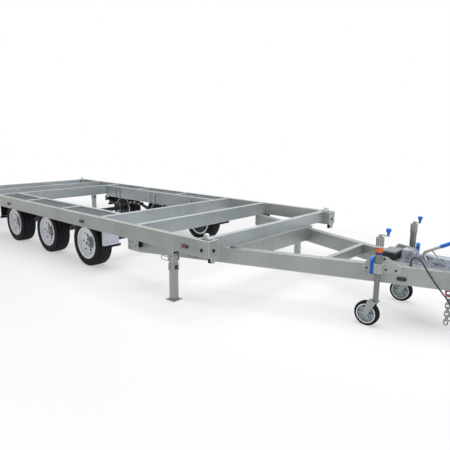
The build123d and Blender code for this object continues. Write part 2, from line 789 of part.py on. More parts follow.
# Tyre: a section of arcs turned about the wheel's axis
tyre_inner_radius = rim_seat_radius + tyre_seat_gap
tyre_radius = tyre_diameter / 2
bead_half = rim_width / 2 - rim_flange_thickness - tyre_bead_gap
bead_top = rim_flange_radius + tyre_bead_rise
shoulder_half = tyre_width / 2 - tyre_shoulder_width
with BuildPart() as tyre:
    with BuildSketch(Plane.YZ):
        with BuildLine():
            Line((0, tyre_inner_radius), (bead_half, tyre_inner_radius))
            Line((bead_half, tyre_inner_radius), (bead_half, bead_top))
            ThreePointArc((bead_half, bead_top), (tyre_width / 2, (rim_flange_radius + tyre_radius) / 2),
                          (tyre_width / 2 - tyre_wall_inset, tyre_radius - tyre_shoulder_drop))
            ThreePointArc((tyre_width / 2 - tyre_wall_inset, tyre_radius - tyre_shoulder_drop),
                          (tyre_width / 2 - 2 * tyre_wall_inset, tyre_radius - tyre_shoulder_drop / 3),
                          (shoulder_half, tyre_radius))
            Line((shoulder_half, tyre_radius), (0, tyre_radius))
            mirror(about=Plane.YZ)
        make_face()
    revolve(axis=Axis.Y)

# Rim: barrel and flanges, a dished disc with windows, brake drum, hub and bearing cap
disc_rows = (  # place along the axle, radius
    (disc_edge_offset, rim_seat_radius - rim_wall / 2),
    (disc_shoulder_offset, disc_shoulder_radius),
    (disc_flat_offset, disc_flat_radius),
    (disc_flat_offset, hub_radius - disc_thickness),
)
disc_back = disc_flat_offset - disc_thickness
drum_front = disc_flat_offset - disc_thickness / 2
cap_end = hub_front + cap_length
with BuildPart() as rim:
    with BuildSketch(Plane.YZ):
        with Locations((0, rim_seat_radius - rim_wall / 2)):
            Rectangle(rim_width, rim_wall)
        for turn in (-1, 1):
            flange_y = turn * (rim_width - rim_flange_thickness) / 2
            with Locations((flange_y, (rim_seat_radius + rim_flange_radius) / 2)):
                Rectangle(rim_flange_thickness, rim_flange_radius - rim_seat_radius)
        disc_back_rows = [(place - disc_thickness, radius) for place, radius in reversed(disc_rows)]
        Polygon(*disc_rows, *disc_back_rows, align=None)
        with Locations(((drum_front - hub_back) / 2, drum_radius - drum_wall / 2)):
            Rectangle(drum_front + hub_back, drum_wall)
        with Locations((disc_back - hub_flange_thickness / 2, hub_flange_radius / 2)):
            Rectangle(hub_flange_thickness, hub_flange_radius)
        with Locations(((hub_front - hub_back) / 2, hub_radius / 2)):
            Rectangle(hub_front + hub_back, hub_radius)
        Polygon((hub_front, 0), (hub_front, cap_radius), (cap_end - cap_rounding, cap_radius),
                (cap_end, cap_radius - cap_rounding), (cap_end, 0), align=None)
        with Locations(((hub_front - hub_back) / 2, (spindle_radius + spindle_clearance) / 2)):
            Rectangle(hub_front + hub_back, spindle_radius + spindle_clearance, mode=Mode.SUBTRACT)
    revolve(axis=Axis.Y)
    with BuildSketch(Plane.XZ.offset(-disc_edge_offset)) as windows:
        with PolarLocations(disc_hole_circle, disc_hole_count):
            RegularPolygon(disc_hole_radius, 3)
        fillet(windows.vertices(), disc_hole_rounding)
    extrude(amount=disc_edge_offset - disc_back, mode=Mode.SUBTRACT)

for place, axle_x in axle_places.items():
    for side_name, side in sides.items():
        seat = Location((axle_x, side * wheel_y, axle_z), (0, 0, 0 if side > 0 else 180))
        write(tyre.part.moved(seat), f"tyre_{place}_{side_name}")
        write(rim.part.moved(seat), f"rim_{place}_{side_name}")

# Stand brackets: a channel under the rail, its outer cheek lapped over the rail's face, pin and pull loop
stand_y = half_width - stand_side_gap - stand_tube / 2
stand_pivot_z = rail_bottom - stand_pivot_drop
bracket_bottom = rail_bottom - stand_bracket_depth
cheek_pitch = stand_tube + 2 * stand_side_gap + stand_cheek
loop_low = bracket_bottom + 2 * stand_handle_radius
loop_y = half_width + stand_cheek + stand_handle_radius - stand_handle_weld
stand_places = {"front": (front_lock_x - stand_front_back, 1), "rear": (front_lock_x - stand_rear_back, -1)}
with BuildPart() as stand_brackets:
    for stand_x, ahead in stand_places.values():
        for side in sides.values():
            for cheek, cheek_top in ((-1, rail_bottom), (1, rail_bottom + stand_bracket_lap)):
                cheek_y = side * (stand_y + cheek * cheek_pitch / 2)
                with BuildSketch(Plane.XZ.offset(-cheek_y - stand_cheek / 2)) as cheek_plate:
                    with Locations((stand_x, (bracket_bottom + cheek_top) / 2)):
                        Rectangle(stand_bracket_length, cheek_top - bracket_bottom)
                    fillet(cheek_plate.vertices().group_by(Axis.Y)[0], stand_bracket_corner)
                extrude(amount=stand_cheek)
            with Locations((stand_x, side * stand_y, rail_bottom - stand_cheek / 2)):
                Box(stand_bracket_length, cheek_pitch + stand_cheek, stand_cheek)
            with Locations(Location((stand_x, side * stand_y, stand_pivot_z), (90, 0, 0))):
                Cylinder(stand_pin_radius, cheek_pitch + stand_cheek)
            loop_end = stand_x - ahead * stand_handle_length
            with BuildLine(Plane.XZ.offset(-side * loop_y)):
                loop_path = FilletPolyline((stand_x, loop_low + stand_handle_height),
                                           (loop_end, loop_low + stand_handle_height),
                                           (loop_end, loop_low), (stand_x, loop_low),
                                           radius=stand_handle_bend)
            with BuildSketch(Plane(origin=loop_path @ 0, z_dir=loop_path % 0)):
                Circle(stand_handle_radius)
            sweep(path=loop_path)
write(stand_brackets.part, "stand_brackets")

# Stand leg: a square tube with a rounded head on the pin, a collar with a window, and a foot
collar_low = stand_pivot_z - stand_collar_top - stand_collar_height
with BuildPart() as stand_leg:
    with BuildSketch(Plane.XY.offset(collar_low)):
        Rectangle(stand_collar_size, stand_collar_size)
    extrude(amount=stand_collar_height)
    for window_turn in (0, 90):
        with Locations(Location((0, 0, collar_low + stand_collar_height / 2), (0, 0, window_turn))):
            Box(2 * stand_collar_size, stand_collar_window, stand_collar_window, mode=Mode.SUBTRACT)
    with BuildSketch(Plane.XZ.offset(stand_tube / 2)):
        with Locations((0, (stand_foot_thickness + stand_pivot_z) / 2)):
            Rectangle(stand_tube, stand_pivot_z - stand_foot_thickness)
        with Locations((0, stand_pivot_z)):
            Circle(stand_tube / 2)
    extrude(amount=-stand_tube)
    with BuildSketch(Plane.XY):
        Rectangle(stand_foot_size, stand_foot_size)
    extrude(amount=stand_foot_thickness)
    with Locations(Location((0, 0, stand_pivot_z), (90, 0, 0))):
        Cylinder(stand_pin_radius + stand_pin_clearance, stand_tube, mode=Mode.SUBTRACT)
for place, (stand_x, ahead) in stand_places.items():
    for side_name, side in sides.items():
        write(stand_leg.part.moved(Location((stand_x, side * stand_y, 0))), f"stand_leg_{place}_{side_name}")

# Jockey tubes with a sleeve round the head
jockey_x = beam_front_x - jockey_setback
jockey_y = beam_y(jockey_x) + jockey_beam_gap
jockey_tube_bottom = rail_bottom - jockey_tube_drop
jockey_tube_top = rail_bottom + jockey_tube_rise
with BuildPart() as jockey_tubes:
    for side in sides.values():
        tube_rows = (  # bottom, outer radius, height
            (jockey_tube_bottom, jockey_tube_radius, jockey_tube_top - jockey_tube_bottom),
            (jockey_tube_top - jockey_sleeve_length, jockey_sleeve_radius, jockey_sleeve_length),
        )
        for low, radius, height in tube_rows:
            with BuildSketch(Plane.XY.offset(low)):
                with Locations((jockey_x, side * jockey_y)):
                    Circle(radius)
                    Circle(jockey_bore_radius, mode=Mode.SUBTRACT)
            extrude(amount=height)
        with BuildSketch(Plane.XY.offset(jockey_tube_top)):
            with Locations((jockey_x, side * jockey_y)):
                Circle(jockey_tube_radius)
        extrude(amount=-jockey_cap_thickness)
write(jockey_tubes.part, "jockey_tubes")

# Crank arms, each left at its own angle
crank_z = jockey_tube_top + crank_cap_height
crank_turns = {1: -25.0, -1: 0.0}
knob_places = {side: (jockey_x + crank_arm_length * cos(radians(turn)),
                      side * jockey_y + crank_arm_length * sin(radians(turn)))
               for side, turn in crank_turns.items()}
with BuildPart() as jockey_cranks:
    for side, turn in crank_turns.items():
        with BuildSketch(Plane.XY.offset(jockey_tube_top)):
            with Locations((jockey_x, side * jockey_y)):
                Circle(crank_neck_radius)
        extrude(amount=crank_cap_height)
        arm_x = (jockey_x + knob_places[side][0]) / 2
        arm_y = (side * jockey_y + knob_places[side][1]) / 2
        with BuildSketch(Plane.XY.offset(crank_z - crank_arm_thickness)):
            with Locations((arm_x, arm_y)):
                SlotCenterToCenter(crank_arm_length, 2 * crank_neck_radius, rotation=turn)
        extrude(amount=crank_arm_thickness)
write(jockey_cranks.part, "jockey_cranks")

# Clamps hold the jockey tubes off gusset plates on the drawbar beams' outer faces
clamp_ring_z = rail_bottom - clamp_ring_drop
with BuildPart() as jockey_clamps:
    for side in sides.values():
        normal = Vector(sin(beam_angle), side * cos(beam_angle), 0)
        run = Vector(cos(beam_angle), -side * sin(beam_angle), 0)
        face_gap = jockey_beam_gap * cos(beam_angle)
        beam_foot = Vector(jockey_x, side * jockey_y, rail_bottom) - normal * face_gap
        arm_middle = beam_foot + normal * (face_gap / 2)
        with BuildSketch(Plane.XY.offset(clamp_ring_z)):
            arm_turn = degrees(atan(normal.Y / normal.X))
            with Locations(Location((arm_middle.X, arm_middle.Y, 0), (0, 0, arm_turn))):
                Rectangle(face_gap, clamp_arm_width)
            with Locations((jockey_x, side * jockey_y)):
                Circle(jockey_tube_radius + clamp_ring_wall)
                Circle(jockey_tube_radius + clamp_ring_clearance, mode=Mode.SUBTRACT)
        extrude(amount=clamp_ring_height)
        gusset_rows = (  # along the beam, above its top
            (-gusset_back, -gusset_drop), (gusset_front, -gusset_drop), (gusset_front, 0),
            (gusset_top_half, gusset_rise), (-gusset_top_half, gusset_rise), (-gusset_back, 0),
        )
        with BuildSketch(Plane(origin=beam_foot, x_dir=run * -side, z_dir=normal)):
            Polygon(*[(-side * along, up) for along, up in gusset_rows], align=None)
        extrude(amount=gusset_thickness)
write(jockey_clamps.part, "jockey_clamps")

# Jockey leg, fork and wheel
crown_top = jockey_wheel_diameter + fork_tyre_gap + fork_crown_height
jockey_leg_bottom = crown_top + fork_face_gap
jockey_leg_top = jockey_tube_bottom + jockey_leg_overlap
with BuildPart() as jockey_leg:
    with BuildSketch(Plane.XY.offset(jockey_leg_bottom)):
        Circle(jockey_leg_radius)
        Circle(jockey_leg_bore, mode=Mode.SUBTRACT)
    extrude(amount=jockey_leg_top - jockey_leg_bottom)

jockey_wheel_z = jockey_wheel_diameter / 2
fork_half = jockey_tyre_width / 2 + fork_cheek_gap
with BuildPart() as jockey_fork:
    with BuildSketch(Plane.XY.offset(crown_top - fork_crown_height)):
        with Locations((-fork_trail / 4, 0)):
            Rectangle(2 * jockey_leg_radius + fork_trail / 2, 2 * (fork_half + fork_cheek))
    extrude(amount=fork_crown_height)
    with BuildSketch(Plane.XY.offset(crown_top)):
        Circle(jockey_leg_bore - fork_stem_clearance)
    extrude(amount=fork_stem_length)
    for cheek in (-1, 1):
        cheek_y = cheek * (fork_half + fork_cheek / 2)
        with BuildSketch(Plane.XZ.offset(-cheek_y - fork_cheek / 2)):
            with BuildLine():
                Polyline((jockey_leg_radius, crown_top), (-fork_trail / 2 - jockey_leg_radius, crown_top),
                         (-fork_trail - jockey_hub_radius, jockey_wheel_z),
                         (-fork_trail, jockey_wheel_z - jockey_hub_radius),
                         (-fork_trail + jockey_hub_radius, jockey_wheel_z), close=True)
            make_face()
        extrude(amount=fork_cheek)
    with Locations(Location((-fork_trail, 0, jockey_wheel_z), (90, 0, 0))):
        Cylinder(jockey_pin_radius, 2 * (fork_half + fork_cheek) + jockey_pin_radius)

jockey_rim_radius = jockey_wheel_diameter / 2 - jockey_tyre_section
with BuildPart() as jockey_tyre:
    with BuildSketch(Plane.YZ):
        with Locations((0, (jockey_wheel_diameter - jockey_tyre_section) / 2 + jockey_tyre_gap)):
            RectangleRounded(jockey_tyre_width, jockey_tyre_section - 2 * jockey_tyre_gap,
                             jockey_tyre_section / 3)
    revolve(axis=Axis.Y)

jockey_rim_middle = jockey_rim_radius - jockey_rim_wall / 2
with BuildPart() as jockey_rim:
    with BuildSketch(Plane.YZ):
        with Locations((0, jockey_rim_radius - jockey_rim_wall / 2)):
            Rectangle(jockey_rim_width, jockey_rim_wall)
        with Locations((0, (jockey_rim_middle + jockey_hub_radius) / 2)):
            Rectangle(jockey_web, jockey_rim_middle - jockey_hub_radius)
        with Locations((0, jockey_hub_radius / 2)):
            Rectangle(jockey_tyre_width, jockey_hub_radius)
        with Locations((0, (jockey_pin_radius + jockey_pin_clearance) / 2)):
            Rectangle(jockey_tyre_width, jockey_pin_radius + jockey_pin_clearance, mode=Mode.SUBTRACT)
    revolve(axis=Axis.Y)
    with BuildSketch(Plane.XZ.offset(jockey_rim_width / 2)):
        with PolarLocations((jockey_rim_middle + jockey_hub_radius) / 2, jockey_spoke_count):
            Rectangle(jockey_rim_middle - jockey_hub_radius + jockey_rim_wall / 2, jockey_spoke_width)
    extrude(amount=-jockey_rim_width)

for side_name, side in sides.items():
    post = Location((jockey_x, side * jockey_y, 0))
    hub = Location((jockey_x - fork_trail, side * jockey_y, jockey_wheel_z))
    write(jockey_leg.part.moved(post), f"jockey_leg_{side_name}")
    write(jockey_fork.part.moved(post), f"jockey_fork_{side_name}")
    write(jockey_tyre.part.moved(hub), f"jockey_tyre_{side_name}")
    write(jockey_rim.part.moved(hub), f"jockey_rim_{side_name}")

# Coupling body on the nose plate, with a taller cover at its rear and a flange to bolt it down
body_front_x = nose_x - head_length - draw_tube_length
body_rear_x = body_front_x - coupling_body_length
tube_z = plate_top + coupling_body_height / 2
cover_rear_x = body_rear_x - cover_back
cover_front_x = cover_rear_x + cover_length
with BuildPart() as coupling_body:
    with BuildSketch(Plane.XZ.offset(-coupling_body_width / 2)):
        with BuildLine():
            Polyline((body_rear_x, plate_top), (body_front_x, plate_top),
                     (body_front_x, plate_top + coupling_body_height),
                     (body_rear_x + coupling_body_length / 4, plate_top + coupling_body_height),
                     (body_rear_x, plate_top + coupling_body_height / 2), close=True)
        make_face()
    extrude(amount=coupling_body_width)
    fillet(coupling_body.edges().filter_by(Axis.X).group_by(Axis.Z)[-1], coupling_rounding)
    with BuildSketch(Plane.XZ.offset(-cover_width / 2)):
        with BuildLine():
            Polyline((cover_rear_x, plate_top), (cover_front_x, plate_top),
                     (cover_front_x, plate_top + cover_height - cover_slope),
                     (cover_front_x - cover_slope, plate_top + cover_height),
                     (cover_rear_x, plate_top + cover_height), close=True)
        make_face()
    extrude(amount=cover_width)
    with BuildSketch(Plane.XY.offset(plate_top)):
        with Locations(((cover_rear_x + block_front_x) / 2, 0)):
            Rectangle(block_front_x - cover_rear_x, coupling_flange_width)
    extrude(amount=coupling_flange_thickness)
write(coupling_body.part, "coupling_body")

# Coupling head with the socket for the tow ball, open below
head_rear_x = nose_x - head_length
ball_x = nose_x - ball_setback
head_bottom = tube_z - head_height / 2
with BuildPart() as coupling_head:
    with BuildSketch(Plane.YZ.offset(body_front_x)):
        with Locations((0, tube_z)):
            Circle(draw_tube_radius)
    extrude(amount=head_rear_x - body_front_x)
    with BuildSketch(Plane.XY.offset(head_bottom)):
        with Locations(((head_rear_x + ball_x) / 2, 0)):
            Rectangle(ball_x - head_rear_x, head_width)
        with Locations((ball_x, 0)):
            Circle(ball_setback)
    extrude(amount=head_height)
    with BuildSketch(Plane.XY.offset(head_bottom)):
        with Locations((ball_x, 0)):
            Circle(ball_radius + ball_clearance)
    extrude(amount=ball_depth, mode=Mode.SUBTRACT)
    with Locations((ball_x, 0, head_bottom + ball_depth)):
        Sphere(ball_radius + ball_clearance, mode=Mode.SUBTRACT)
write(coupling_head.part, "coupling_head")

# Brake lever, bent once, with its stay and a grip
lever_foot = (body_rear_x + lever_foot_ahead, tube_z)
lever_elbow = (body_rear_x + lever_elbow_ahead, plate_top + lever_elbow_rise)
lever_end = (body_rear_x + lever_end_ahead, plate_top + lever_end_rise)
stay_foot = (body_rear_x + stay_foot_ahead, tube_z)
lever_run = Vector(lever_end[0] - lever_elbow[0], lever_end[1] - lever_elbow[1])
with BuildPart() as brake_lever:
    with BuildLine(Plane.XZ.offset(-lever_y)):
        lever_path = FilletPolyline(lever_foot, lever_elbow, lever_end, radius=lever_bend)
    with BuildSketch(Plane(origin=lever_path @ 0, z_dir=lever_path % 0)):
        Circle(lever_radius)
    sweep()
    stay_top = (lever_elbow[0] + lever_run.X / 2, lever_elbow[1] + lever_run.Y / 2)
    with BuildLine(Plane.XZ.offset(-lever_y)):
        stay_path = Line(stay_top, stay_foot)
    with BuildSketch(Plane(origin=stay_path @ 0, z_dir=stay_path % 0)):
        Circle(strut_radius)
    extrude(amount=stay_path.length)
    for foot in (lever_foot, stay_foot):
        with Locations(Location((foot[0], (lever_y - coupling_body_width / 2) / 2, foot[1]), (90, 0, 0))):
            Cylinder(lever_radius, -lever_y - coupling_body_width / 2)
write(brake_lever.part, "brake_lever")

# Hand grips: jockey crank knobs, clamp levers and the brake lever's end
grip_reach = jockey_tube_radius + clamp_ring_wall + clamp_grip_radius
with BuildPart() as one_knob:
    with BuildSketch(Plane.XZ):
        with BuildLine():
            Line((0, 0), (knob_foot, 0))
            Line((knob_foot, 0), (knob_radius, knob_height - knob_radius))
            CenterArc((0, knob_height - knob_radius), knob_radius, 0, 90)
            Line((0, knob_height), (0, 0))
        make_face()
    revolve(axis=Axis.Z)

with BuildPart() as hand_grips:
    for side in sides.values():
        add(one_knob.part.moved(Location((*knob_places[side], crank_z))))
        with BuildSketch(Plane.XY.offset(clamp_ring_z - clamp_grip_drop)):
            with Locations((jockey_x + side * grip_reach, side * jockey_y)):
                Circle(clamp_grip_radius)
        extrude(amount=clamp_grip_length)
    grip_plane = Plane(origin=(lever_end[0], lever_y, lever_end[1]), z_dir=(lever_run.X, 0, lever_run.Y))
    with BuildSketch(grip_plane):
        Circle(grip_radius)
    extrude(amount=grip_length)
write(hand_grips.part, "hand_grips")

# Battery box with its lid on the nose plate
box_x = plate_rear_x + box_ahead + box_length / 2
with BuildPart() as battery_box:
    with BuildSketch(Plane.XY.offset(plate_top)):
        with Locations((box_x, 0)):
            RectangleRounded(box_length, box_width, box_rounding)
    extrude(amount=box_height)
write(battery_box.part, "battery_box")

with BuildPart() as battery_lid:
    with BuildSketch(Plane.XY.offset(plate_top + box_height)):
        with Locations((box_x, 0)):
            RectangleRounded(box_length + 2 * lid_overhang, box_width + 2 * lid_overhang, box_rounding)
    extrude(amount=lid_height)
    fillet(battery_lid.faces().sort_by(Axis.Z)[-1].edges(), lid_height / 3)
write(battery_lid.part, "battery_lid")

# Side marker lamps on the rails and on the drawbar beams
side_lamp_z = rail_bottom + side_lamp_rise
with BuildPart() as marker_lamps:
    for side in sides.values():
        for back in side_lamp_back:
            with BuildSketch(Plane(origin=(front_lock_x - back, side * half_width, side_lamp_z),
                                   x_dir=(1, 0, 0), z_dir=(0, side, 0))):
                SlotOverall(side_lamp_length, side_lamp_width)
            extrude(amount=side_lamp_depth)
        lamp_x = beam_front_x - beam_lamp_setback
        face_normal = (sin(beam_angle), side * cos(beam_angle), 0)
        face_run = (cos(beam_angle), -side * sin(beam_angle), 0)
        lamp_z = drawbar_bottom + drawbar_beam_depth / 3
        lamp_place = (lamp_x, side * beam_y(lamp_x), lamp_z)
        with BuildSketch(Plane(origin=lamp_place, x_dir=face_run, z_dir=face_normal)):
            SlotOverall(side_lamp_length, side_lamp_width)
        extrude(amount=side_lamp_depth)
write(marker_lamps.part, "marker_lamps")

# Tail lamps on the rear end member
tail_lamp_y = half_width - tail_lamp_inset
with BuildPart() as tail_lamps:
    for side in sides.values():
        with Locations((rear_lock_x - rail_width / 2 - tail_lamp_depth / 2, side * tail_lamp_y,
                        deck_height - rail_depth / 2)):
            Box(tail_lamp_depth, tail_lamp_width, tail_lamp_height)
    fillet(tail_lamps.edges().filter_by(Axis.X), tail_lamp_rounding)
write(tail_lamps.part, "tail_lamps")

# Safety chains: two eye plates in the nose block and links that hang in turn
chain_x = block_inner_x - chain_eye_hole - chain_eye_wall
eye_centre_z = drawbar_bottom - chain_eye_drop
link_bay = chain_link_width / 2 - chain_wire
link_rise = link_bay - sqrt(link_bay ** 2 - (chain_wire / 2) ** 2)
hole_rise = chain_eye_hole - sqrt(chain_eye_hole ** 2 - (chain_wire / 2) ** 2)
link_step = chain_pitch - 2 * link_rise - chain_gap
link_top = eye_centre_z - chain_eye_hole + hole_rise + link_rise + chain_gap
with BuildPart() as safety_chains:
    for side in sides.values():
        for order in range(chain_link_count):
            link_z = link_top - chain_pitch / 2 - order * link_step
            facing = (0, 1, 0) if order % 2 else (1, 0, 0)
            with BuildSketch(Plane(origin=(chain_x, side * chain_y, link_z), x_dir=(0, 0, 1), z_dir=facing)):
                SlotOverall(chain_pitch + 2 * chain_wire, chain_link_width)
                SlotOverall(chain_pitch, 2 * link_bay, mode=Mode.SUBTRACT)
            extrude(amount=chain_wire / 2, both=True)
write(safety_chains.part, "safety_chains")

with BuildPart() as chain_eyes:
    for side in sides.values():
        with BuildSketch(Plane.XZ.offset(-side * chain_y + chain_wire / 2)):
            with Locations((chain_x, (drawbar_bottom + chain_eye_root + eye_centre_z) / 2)):
                Rectangle(2 * (chain_eye_hole + chain_eye_wall), chain_eye_drop + chain_eye_root)
            with Locations((chain_x, eye_centre_z)):
                Circle(chain_eye_hole + chain_eye_wall)
                Circle(chain_eye_hole, mode=Mode.SUBTRACT)
        extrude(amount=-chain_wire)
write(chain_eyes.part, "chain_eyes")

# Tow lead: a gland on the nose plate, a hanging run, a tied coil on the ground and the plug
lead_route = [
    (1556, -160, 10), (1556, -160, 52), (1583, -169, 84), (1627, -182, 84), (1668, -193, 50),
    (1700, -200, 6), (1752, -207, -60), (1825, -212, -142), (1900, -213, -221), (1950, -208, -300),
    (1992, -200, -375), (2028, -188, -443), (2066, -175, -495), (2104, -167, -521),
]
lead_points = [Vector(front_lock_x + x, y, plate_top + z) for x, y, z in lead_route]
lead_runs = [after - before for before, after in zip(lead_points, lead_points[1:])]
lead_bends = []
for before, after in zip(lead_runs, lead_runs[1:]):
    half_turn = radians(before.get_angle(after)) / 2
    lead_bends.append(0.45 * min(before.length, after.length) / tan(half_turn))
print("lead bend radii", [round(radius) for radius in lead_bends])
with BuildPart() as tow_lead:
    with BuildLine():
        lead_path = FilletPolyline(*lead_points, radius=lead_bends)
    with BuildSketch(Plane(origin=lead_path @ 0, z_dir=lead_path % 0)):
        Circle(lead_radius)
    sweep()
lead_section = pi * lead_radius ** 2
lead_measure = tow_lead.part.volume / lead_section
print("lead length", round(lead_path.length), "volume over section", round(lead_measure))
write(tow_lead.part, "tow_lead")

with BuildPart() as lead_gland:
    with BuildSketch(Plane(origin=(lead_points[0].X, lead_points[0].Y, plate_top))):
        Circle(gland_radius)
    extrude(amount=lead_route[0][2])
    chamfer(lead_gland.faces().sort_by(Axis.Z)[-1].edges(), gland_radius / 4)
write(lead_gland.part, "lead_gland")

coil_x = front_lock_x + coil_reach
with BuildPart() as lead_coil:
    with BuildSketch(Plane.XY.offset(ground_gap)):
        with Locations((coil_x, coil_y)):
            Circle(coil_mean_radius + coil_band / 2)
            Circle(coil_mean_radius - coil_band / 2, mode=Mode.SUBTRACT)
    extrude(amount=coil_height)
write(lead_coil.part, "lead_coil")

# The plug's tail enters the coil along a tangent and its body lies on the ground
plug_back_x = coil_x - coil_mean_radius - coil_band / 2
plug_y = coil_y + coil_mean_radius
plug_plane = Plane(origin=(plug_back_x, plug_y, ground_gap + plug_radius), z_dir=(-1, 0, 0))
with BuildPart() as lead_plug:
    with BuildSketch(plug_plane):
        Circle(plug_radius)
    extrude(amount=plug_length)
    with BuildSketch(plug_plane):
        Circle(plug_radius - plug_tail_step)
    with BuildSketch(plug_plane.offset(-plug_tail)):
        Circle(lead_radius + plug_tail_wall)
    loft()
write(lead_plug.part, "lead_plug")
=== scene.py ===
import bpy
import bmesh
import json
import math
from mathutils import Matrix, Vector


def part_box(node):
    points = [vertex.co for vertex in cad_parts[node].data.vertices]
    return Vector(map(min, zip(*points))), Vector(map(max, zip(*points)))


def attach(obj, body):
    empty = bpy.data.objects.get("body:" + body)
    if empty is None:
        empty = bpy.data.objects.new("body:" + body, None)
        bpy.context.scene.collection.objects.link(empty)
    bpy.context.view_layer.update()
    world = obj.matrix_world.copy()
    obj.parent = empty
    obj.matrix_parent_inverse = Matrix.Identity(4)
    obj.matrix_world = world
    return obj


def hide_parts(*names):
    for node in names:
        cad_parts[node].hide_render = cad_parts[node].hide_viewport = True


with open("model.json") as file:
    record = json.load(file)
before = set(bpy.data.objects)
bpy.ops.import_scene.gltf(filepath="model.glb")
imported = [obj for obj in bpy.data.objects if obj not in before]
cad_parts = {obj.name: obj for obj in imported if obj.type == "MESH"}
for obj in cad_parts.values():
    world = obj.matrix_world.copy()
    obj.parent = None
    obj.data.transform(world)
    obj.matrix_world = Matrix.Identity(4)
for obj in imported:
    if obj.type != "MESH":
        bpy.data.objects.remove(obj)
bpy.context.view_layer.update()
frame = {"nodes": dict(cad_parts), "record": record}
nodes = frame["nodes"]
scene = bpy.context.scene
millimetre = 0.001
sides = {"left": 1, "right": -1}
wheelRows = ("front", "mid", "rear")
wheels = [(row, side, out) for row in wheelRows for side, out in sides.items()]
forwards, leftwards, upright = Vector((1, 0, 0)), Vector((0, 1, 0)), Vector((0, 0, 1))
straight = (forwards, leftwards, upright)


def boxCentre(node):
    low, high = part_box(node)
    return (Vector(low) + Vector(high)) / 2


def newObject(name, data):
    made = bpy.data.objects.new(name, data)
    scene.collection.objects.link(made)
    return made


# The photograph's viewpoint, in metres and degrees
cameraSetup = {
    "place": (4.6865, -4.103, 1.655),
    "yaw": 41.31,
    "pitch": 11.3,
    "roll": 0.58,
    "lens": 35.92,
    "sensor": 36.0,
}


def buildCamera(setup):
    yaw, pitch, roll = (math.radians(setup[key]) for key in ("yaw", "pitch", "roll"))
    forward = Vector((-math.sin(yaw) * math.cos(pitch), math.cos(yaw) * math.cos(pitch), -math.sin(pitch)))
    level = Vector((math.cos(yaw), math.sin(yaw), 0))
    above = level.cross(forward)
    right = level * math.cos(roll) + above * math.sin(roll)
    up = above * math.cos(roll) - level * math.sin(roll)
    data = bpy.data.cameras.new("photoCamera")
    data.lens = setup["lens"]
    data.sensor_width = setup["sensor"]
    data.sensor_fit = "HORIZONTAL"
    camera = newObject("photoCamera", data)
    turn = Matrix((right, up, -forward)).transposed().to_4x4()
    camera.matrix_world = Matrix.Translation(setup["place"]) @ turn
    scene.camera = camera


buildCamera(cameraSetup)
print("camera placed")


def toLinear(hexColour):
    channels = [int(hexColour[i:i + 2], 16) / 255 for i in (1, 3, 5)]
    linear = [c / 12.92 if c <= 0.04045 else ((c + 0.055) / 1.055) ** 2.4 for c in channels]
    return (*linear, 1.0)


# kind is a shader node's short name or another node's full name; a node as a value gives its first output
def addNode(tree, kind, inputs=None, **settings):
    node = tree.nodes.new(kind if "Node" in kind else "ShaderNode" + kind)
    for key, value in settings.items():
        setattr(node, key, value)
    for key, value in (inputs or {}).items():
        if isinstance(value, bpy.types.Node):
            value = value.outputs[0]
        if isinstance(value, bpy.types.NodeSocket):
            tree.links.new(value, node.inputs[key])
        else:
            node.inputs[key].default_value = value
    return node


def startMaterial(name):
    material = bpy.data.materials.new(name)
    material.use_nodes = True
    tree = material.node_tree
    shader = tree.nodes["Principled BSDF"]
    place = addNode(tree, "TexCoord").outputs["Object"]
    return material, tree, shader, place


def perMetre(sizeInMillimetres):
    return 1000.0 / sizeInMillimetres


# Softened edge normals, so that pressed and welded steel catches light along its corners
def softEdges(tree, shader, radius, height, depth):
    corner = addNode(tree, "Bevel", {"Radius": radius * millimetre}, samples=4)
    grain = addNode(tree, "Bump", {
        "Strength": 1.0, "Distance": depth * millimetre, "Height": height, "Normal": corner})
    tree.links.new(grain.outputs[0], shader.inputs["Normal"])


def endMaterial(tree, shader, colour, gloss, bump, height):
    tree.links.new(colour.outputs[2], shader.inputs["Base Color"])
    tree.links.new(gloss.outputs[0], shader.inputs["Roughness"])
    softEdges(tree, shader, bump[0], height, bump[1])


# Hot-dip galvanised steel: dull grey zinc with crystal flakes, cloudy patches and runs down the faces, with
# every corner painted pale as a painted highlight, drawn 7 mm wide so that it shows in the render
galvanising = {
    "patch": {"Detail": 5.0, "Roughness": 0.62}, "cloud": (0.24, 0.76),
    "flakeShare": 0.35,
    "runSize": 60.0, "runStretch": (1.0, 1.0, 0.12), "run": (0.5, 0.75), "runShare": 0.22,
    "glossSpread": (0.08, 0.1),
    "corner": 7.0, "cornerTurn": (0.99, 0.80), "cornerHighlightColour": "#E6E9EC",
    "bump": (3.0, 0.6),
}


